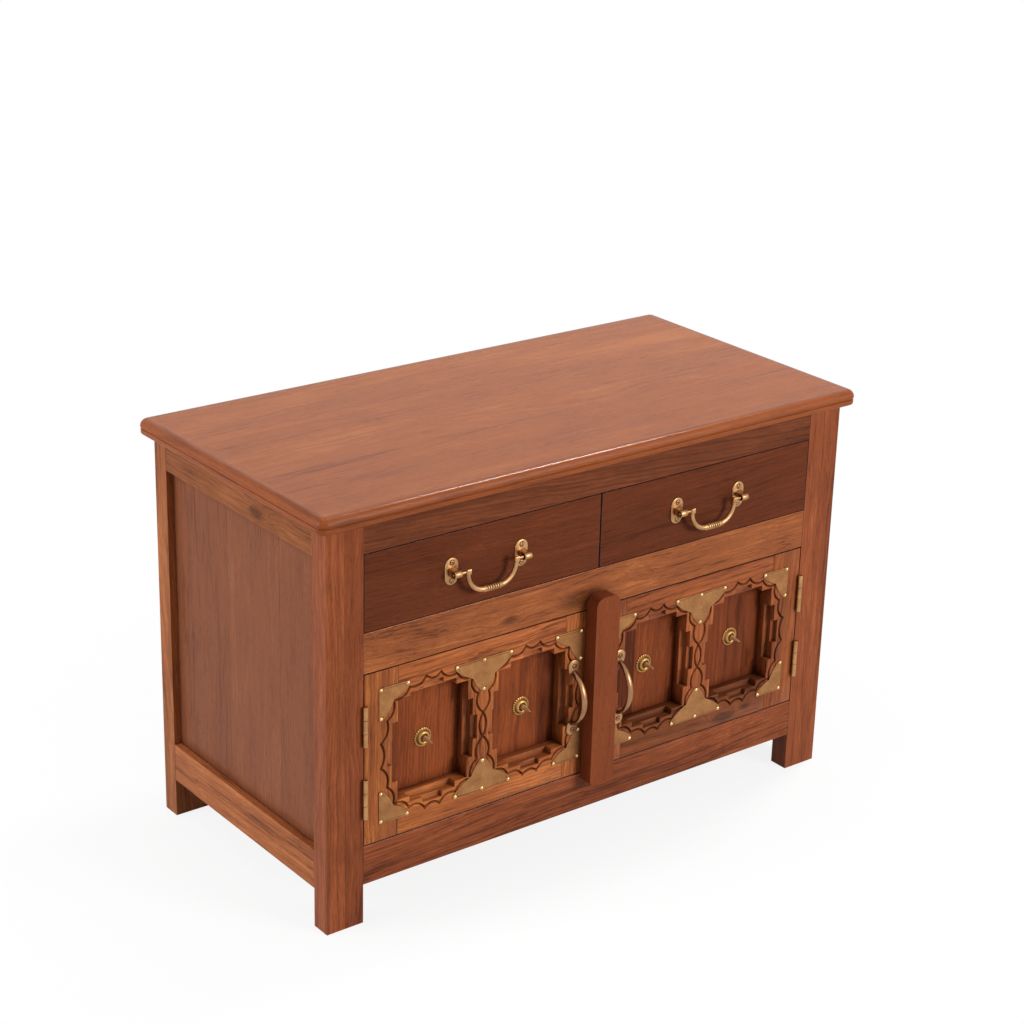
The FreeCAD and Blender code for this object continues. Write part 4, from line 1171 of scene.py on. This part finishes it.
def boss(bm, place):
    """A round-nosed boss, bored for the bail's pin, the bore wide at its mouths."""
    half = BOSS_WIDTH / 2
    full = half - BOSS_EDGE
    outside = ((-half, BOSS_END_SHARE), (-full, 1.0), (full, 1.0), (half, BOSS_END_SHARE))
    bore = ((half, BORE_MOUTH), (BORE_STEP, BORE_MOUTH), (BORE_STEP, BOSS_BORE),
            (-BORE_STEP, BOSS_BORE), (-BORE_STEP, BORE_MOUTH), (-half, BORE_MOUTH))
    outlines = [(along, boss_outline(reach)) for along, reach in outside]
    outlines += [(along, circle(radius, BOSS_SEGMENTS, wide=-1.0)) for along, radius in bore]
    layered(bm, place, outlines, closed=True)


def make_bail_plates():
    """Round-ended plates with a bored boss and two screws."""
    for side in SIDES:
        node = side + "_bail_plates"
        centre = middle(node)
        face_y = front_of(side + "_drawer_front")
        bm = bmesh.new()
        for end in (-1, 1):
            x = centre.x + end * PLATE_SPACING / 2
            place = facing_front(x, face_y, centre.z)
            layered(bm, place, [(up * PLATE_THICKNESS, stadium(inset)) for up, inset in PLATE_LAYERS])
            boss(bm, facing_side(x, face_y - PIVOT_REACH, centre.z))
            for up in (-1, 1):
                seat = facing_front(x, face_y - PLATE_THICKNESS, centre.z + up * SCREW_OFFSET)
                screw(bm, seat, PLATE_SCREW_TURN + PLATE_SCREW_SPREAD * up * end)
        keep_piece(side + "_bail_mounts", bm, side + "_drawer", (BAIL, SEAT_SHADE), node)


def rays_seen(tree):
    """1 for rays that the eye follows, straight, mirrored or through glass, and 0 for light."""
    path = add(tree, "LightPath", {}).outputs
    seen = maths(tree, "MAXIMUM", path["Is Camera Ray"], path["Is Glossy Ray"])
    return maths(tree, "MAXIMUM", seen, path["Is Transmission Ray"])


def floor_look():
    """Pale near the cabinet, where its shadow shows, and white away from it."""
    material, tree, shader = new_material("floor_look")
    tree.nodes.remove(shader)
    away = vector_maths(tree, "LENGTH", place_on_object(tree))[1]
    fade = rise(tree, away, *FLOOR_SHADOW_FADES)
    seen = rays_seen(tree)
    glow = maths(tree, "MULTIPLY_ADD", fade, FLOOR_SHADOW_SHARE, 1 - FLOOR_SHADOW_SHARE)
    glow = maths(tree, "MULTIPLY", glow, seen)
    shade = maths(tree, "MULTIPLY_ADD", seen, 1 - FLOOR_BOUNCE, FLOOR_BOUNCE)
    pale = add(tree, "BsdfDiffuse", {"Color": shade}).outputs[0]
    white = add(tree, "Emission", {"Color": WHITE, "Strength": 1.0}).outputs[0]
    mixed = add(tree, "MixShader", {0: glow, 1: pale, 2: white}).outputs[0]
    tree.links.new(mixed, tree.nodes["Material Output"].inputs["Surface"])
    return material


def make_floor():
    """The floor under the cabinet."""
    bm = bmesh.new()
    ends = ((-1, -1), (1, -1), (1, 1), (-1, 1))
    bm.faces.new([bm.verts.new((x * FLOOR_HALF, y * FLOOR_HALF, 0)) for x, y in ends])
    floor = add_mesh("floor", bm)
    floor.data.materials.append(floor_look())


def make_world():
    """White to the eye and in reflections, softer as a light."""
    world = bpy.data.worlds.new("studio")
    SCENE.world = world
    world.use_nodes = True
    tree = world.node_tree
    strength = maths(tree, "MULTIPLY_ADD", rays_seen(tree), 1 - AMBIENT, AMBIENT)
    background = tree.nodes["Background"]
    background.inputs["Color"].default_value = WHITE
    tree.links.new(strength, background.inputs["Strength"])


def make_light(name, place, target, wide, tall, power):
    """A soft box aimed at a point."""
    data = bpy.data.lights.new(name, "AREA")
    data.shape = "RECTANGLE"
    data.size = wide
    data.size_y = tall
    data.energy = power
    lamp = add_object(name, data)
    lamp.location = place
    lamp.rotation_euler = (Vector(target) - Vector(place)).to_track_quat("-Z", "Y").to_euler()


def make_camera():
    """The photo's own view, from a fit to the cabinet's corners."""
    data = bpy.data.cameras.new("photo_view")
    data.lens = CAMERA_LENS
    data.sensor_width = SENSOR
    camera = add_object("photo_view", data)
    azimuth = Matrix.Rotation(CAMERA_AZIMUTH, 4, "Z")
    fall = Matrix.Rotation(math.pi / 2 - CAMERA_FALL, 4, "X")
    roll = Matrix.Rotation(CAMERA_ROLL, 4, "Z")
    camera.matrix_world = Matrix.Translation(CAMERA_PLACE) @ azimuth @ fall @ roll
    SCENE.camera = camera


dress_carcass()
dress_sides()
make_slab()
dress_drawers()
dress_doors()
for side in SIDES:
    carve_door(side)
make_studs()
make_bows()
make_bails()
make_bail_plates()
make_floor()
make_world()
for lamp in LAMPS:
    make_light(*lamp)
make_camera()
SCENE.view_settings.view_transform = "Standard"
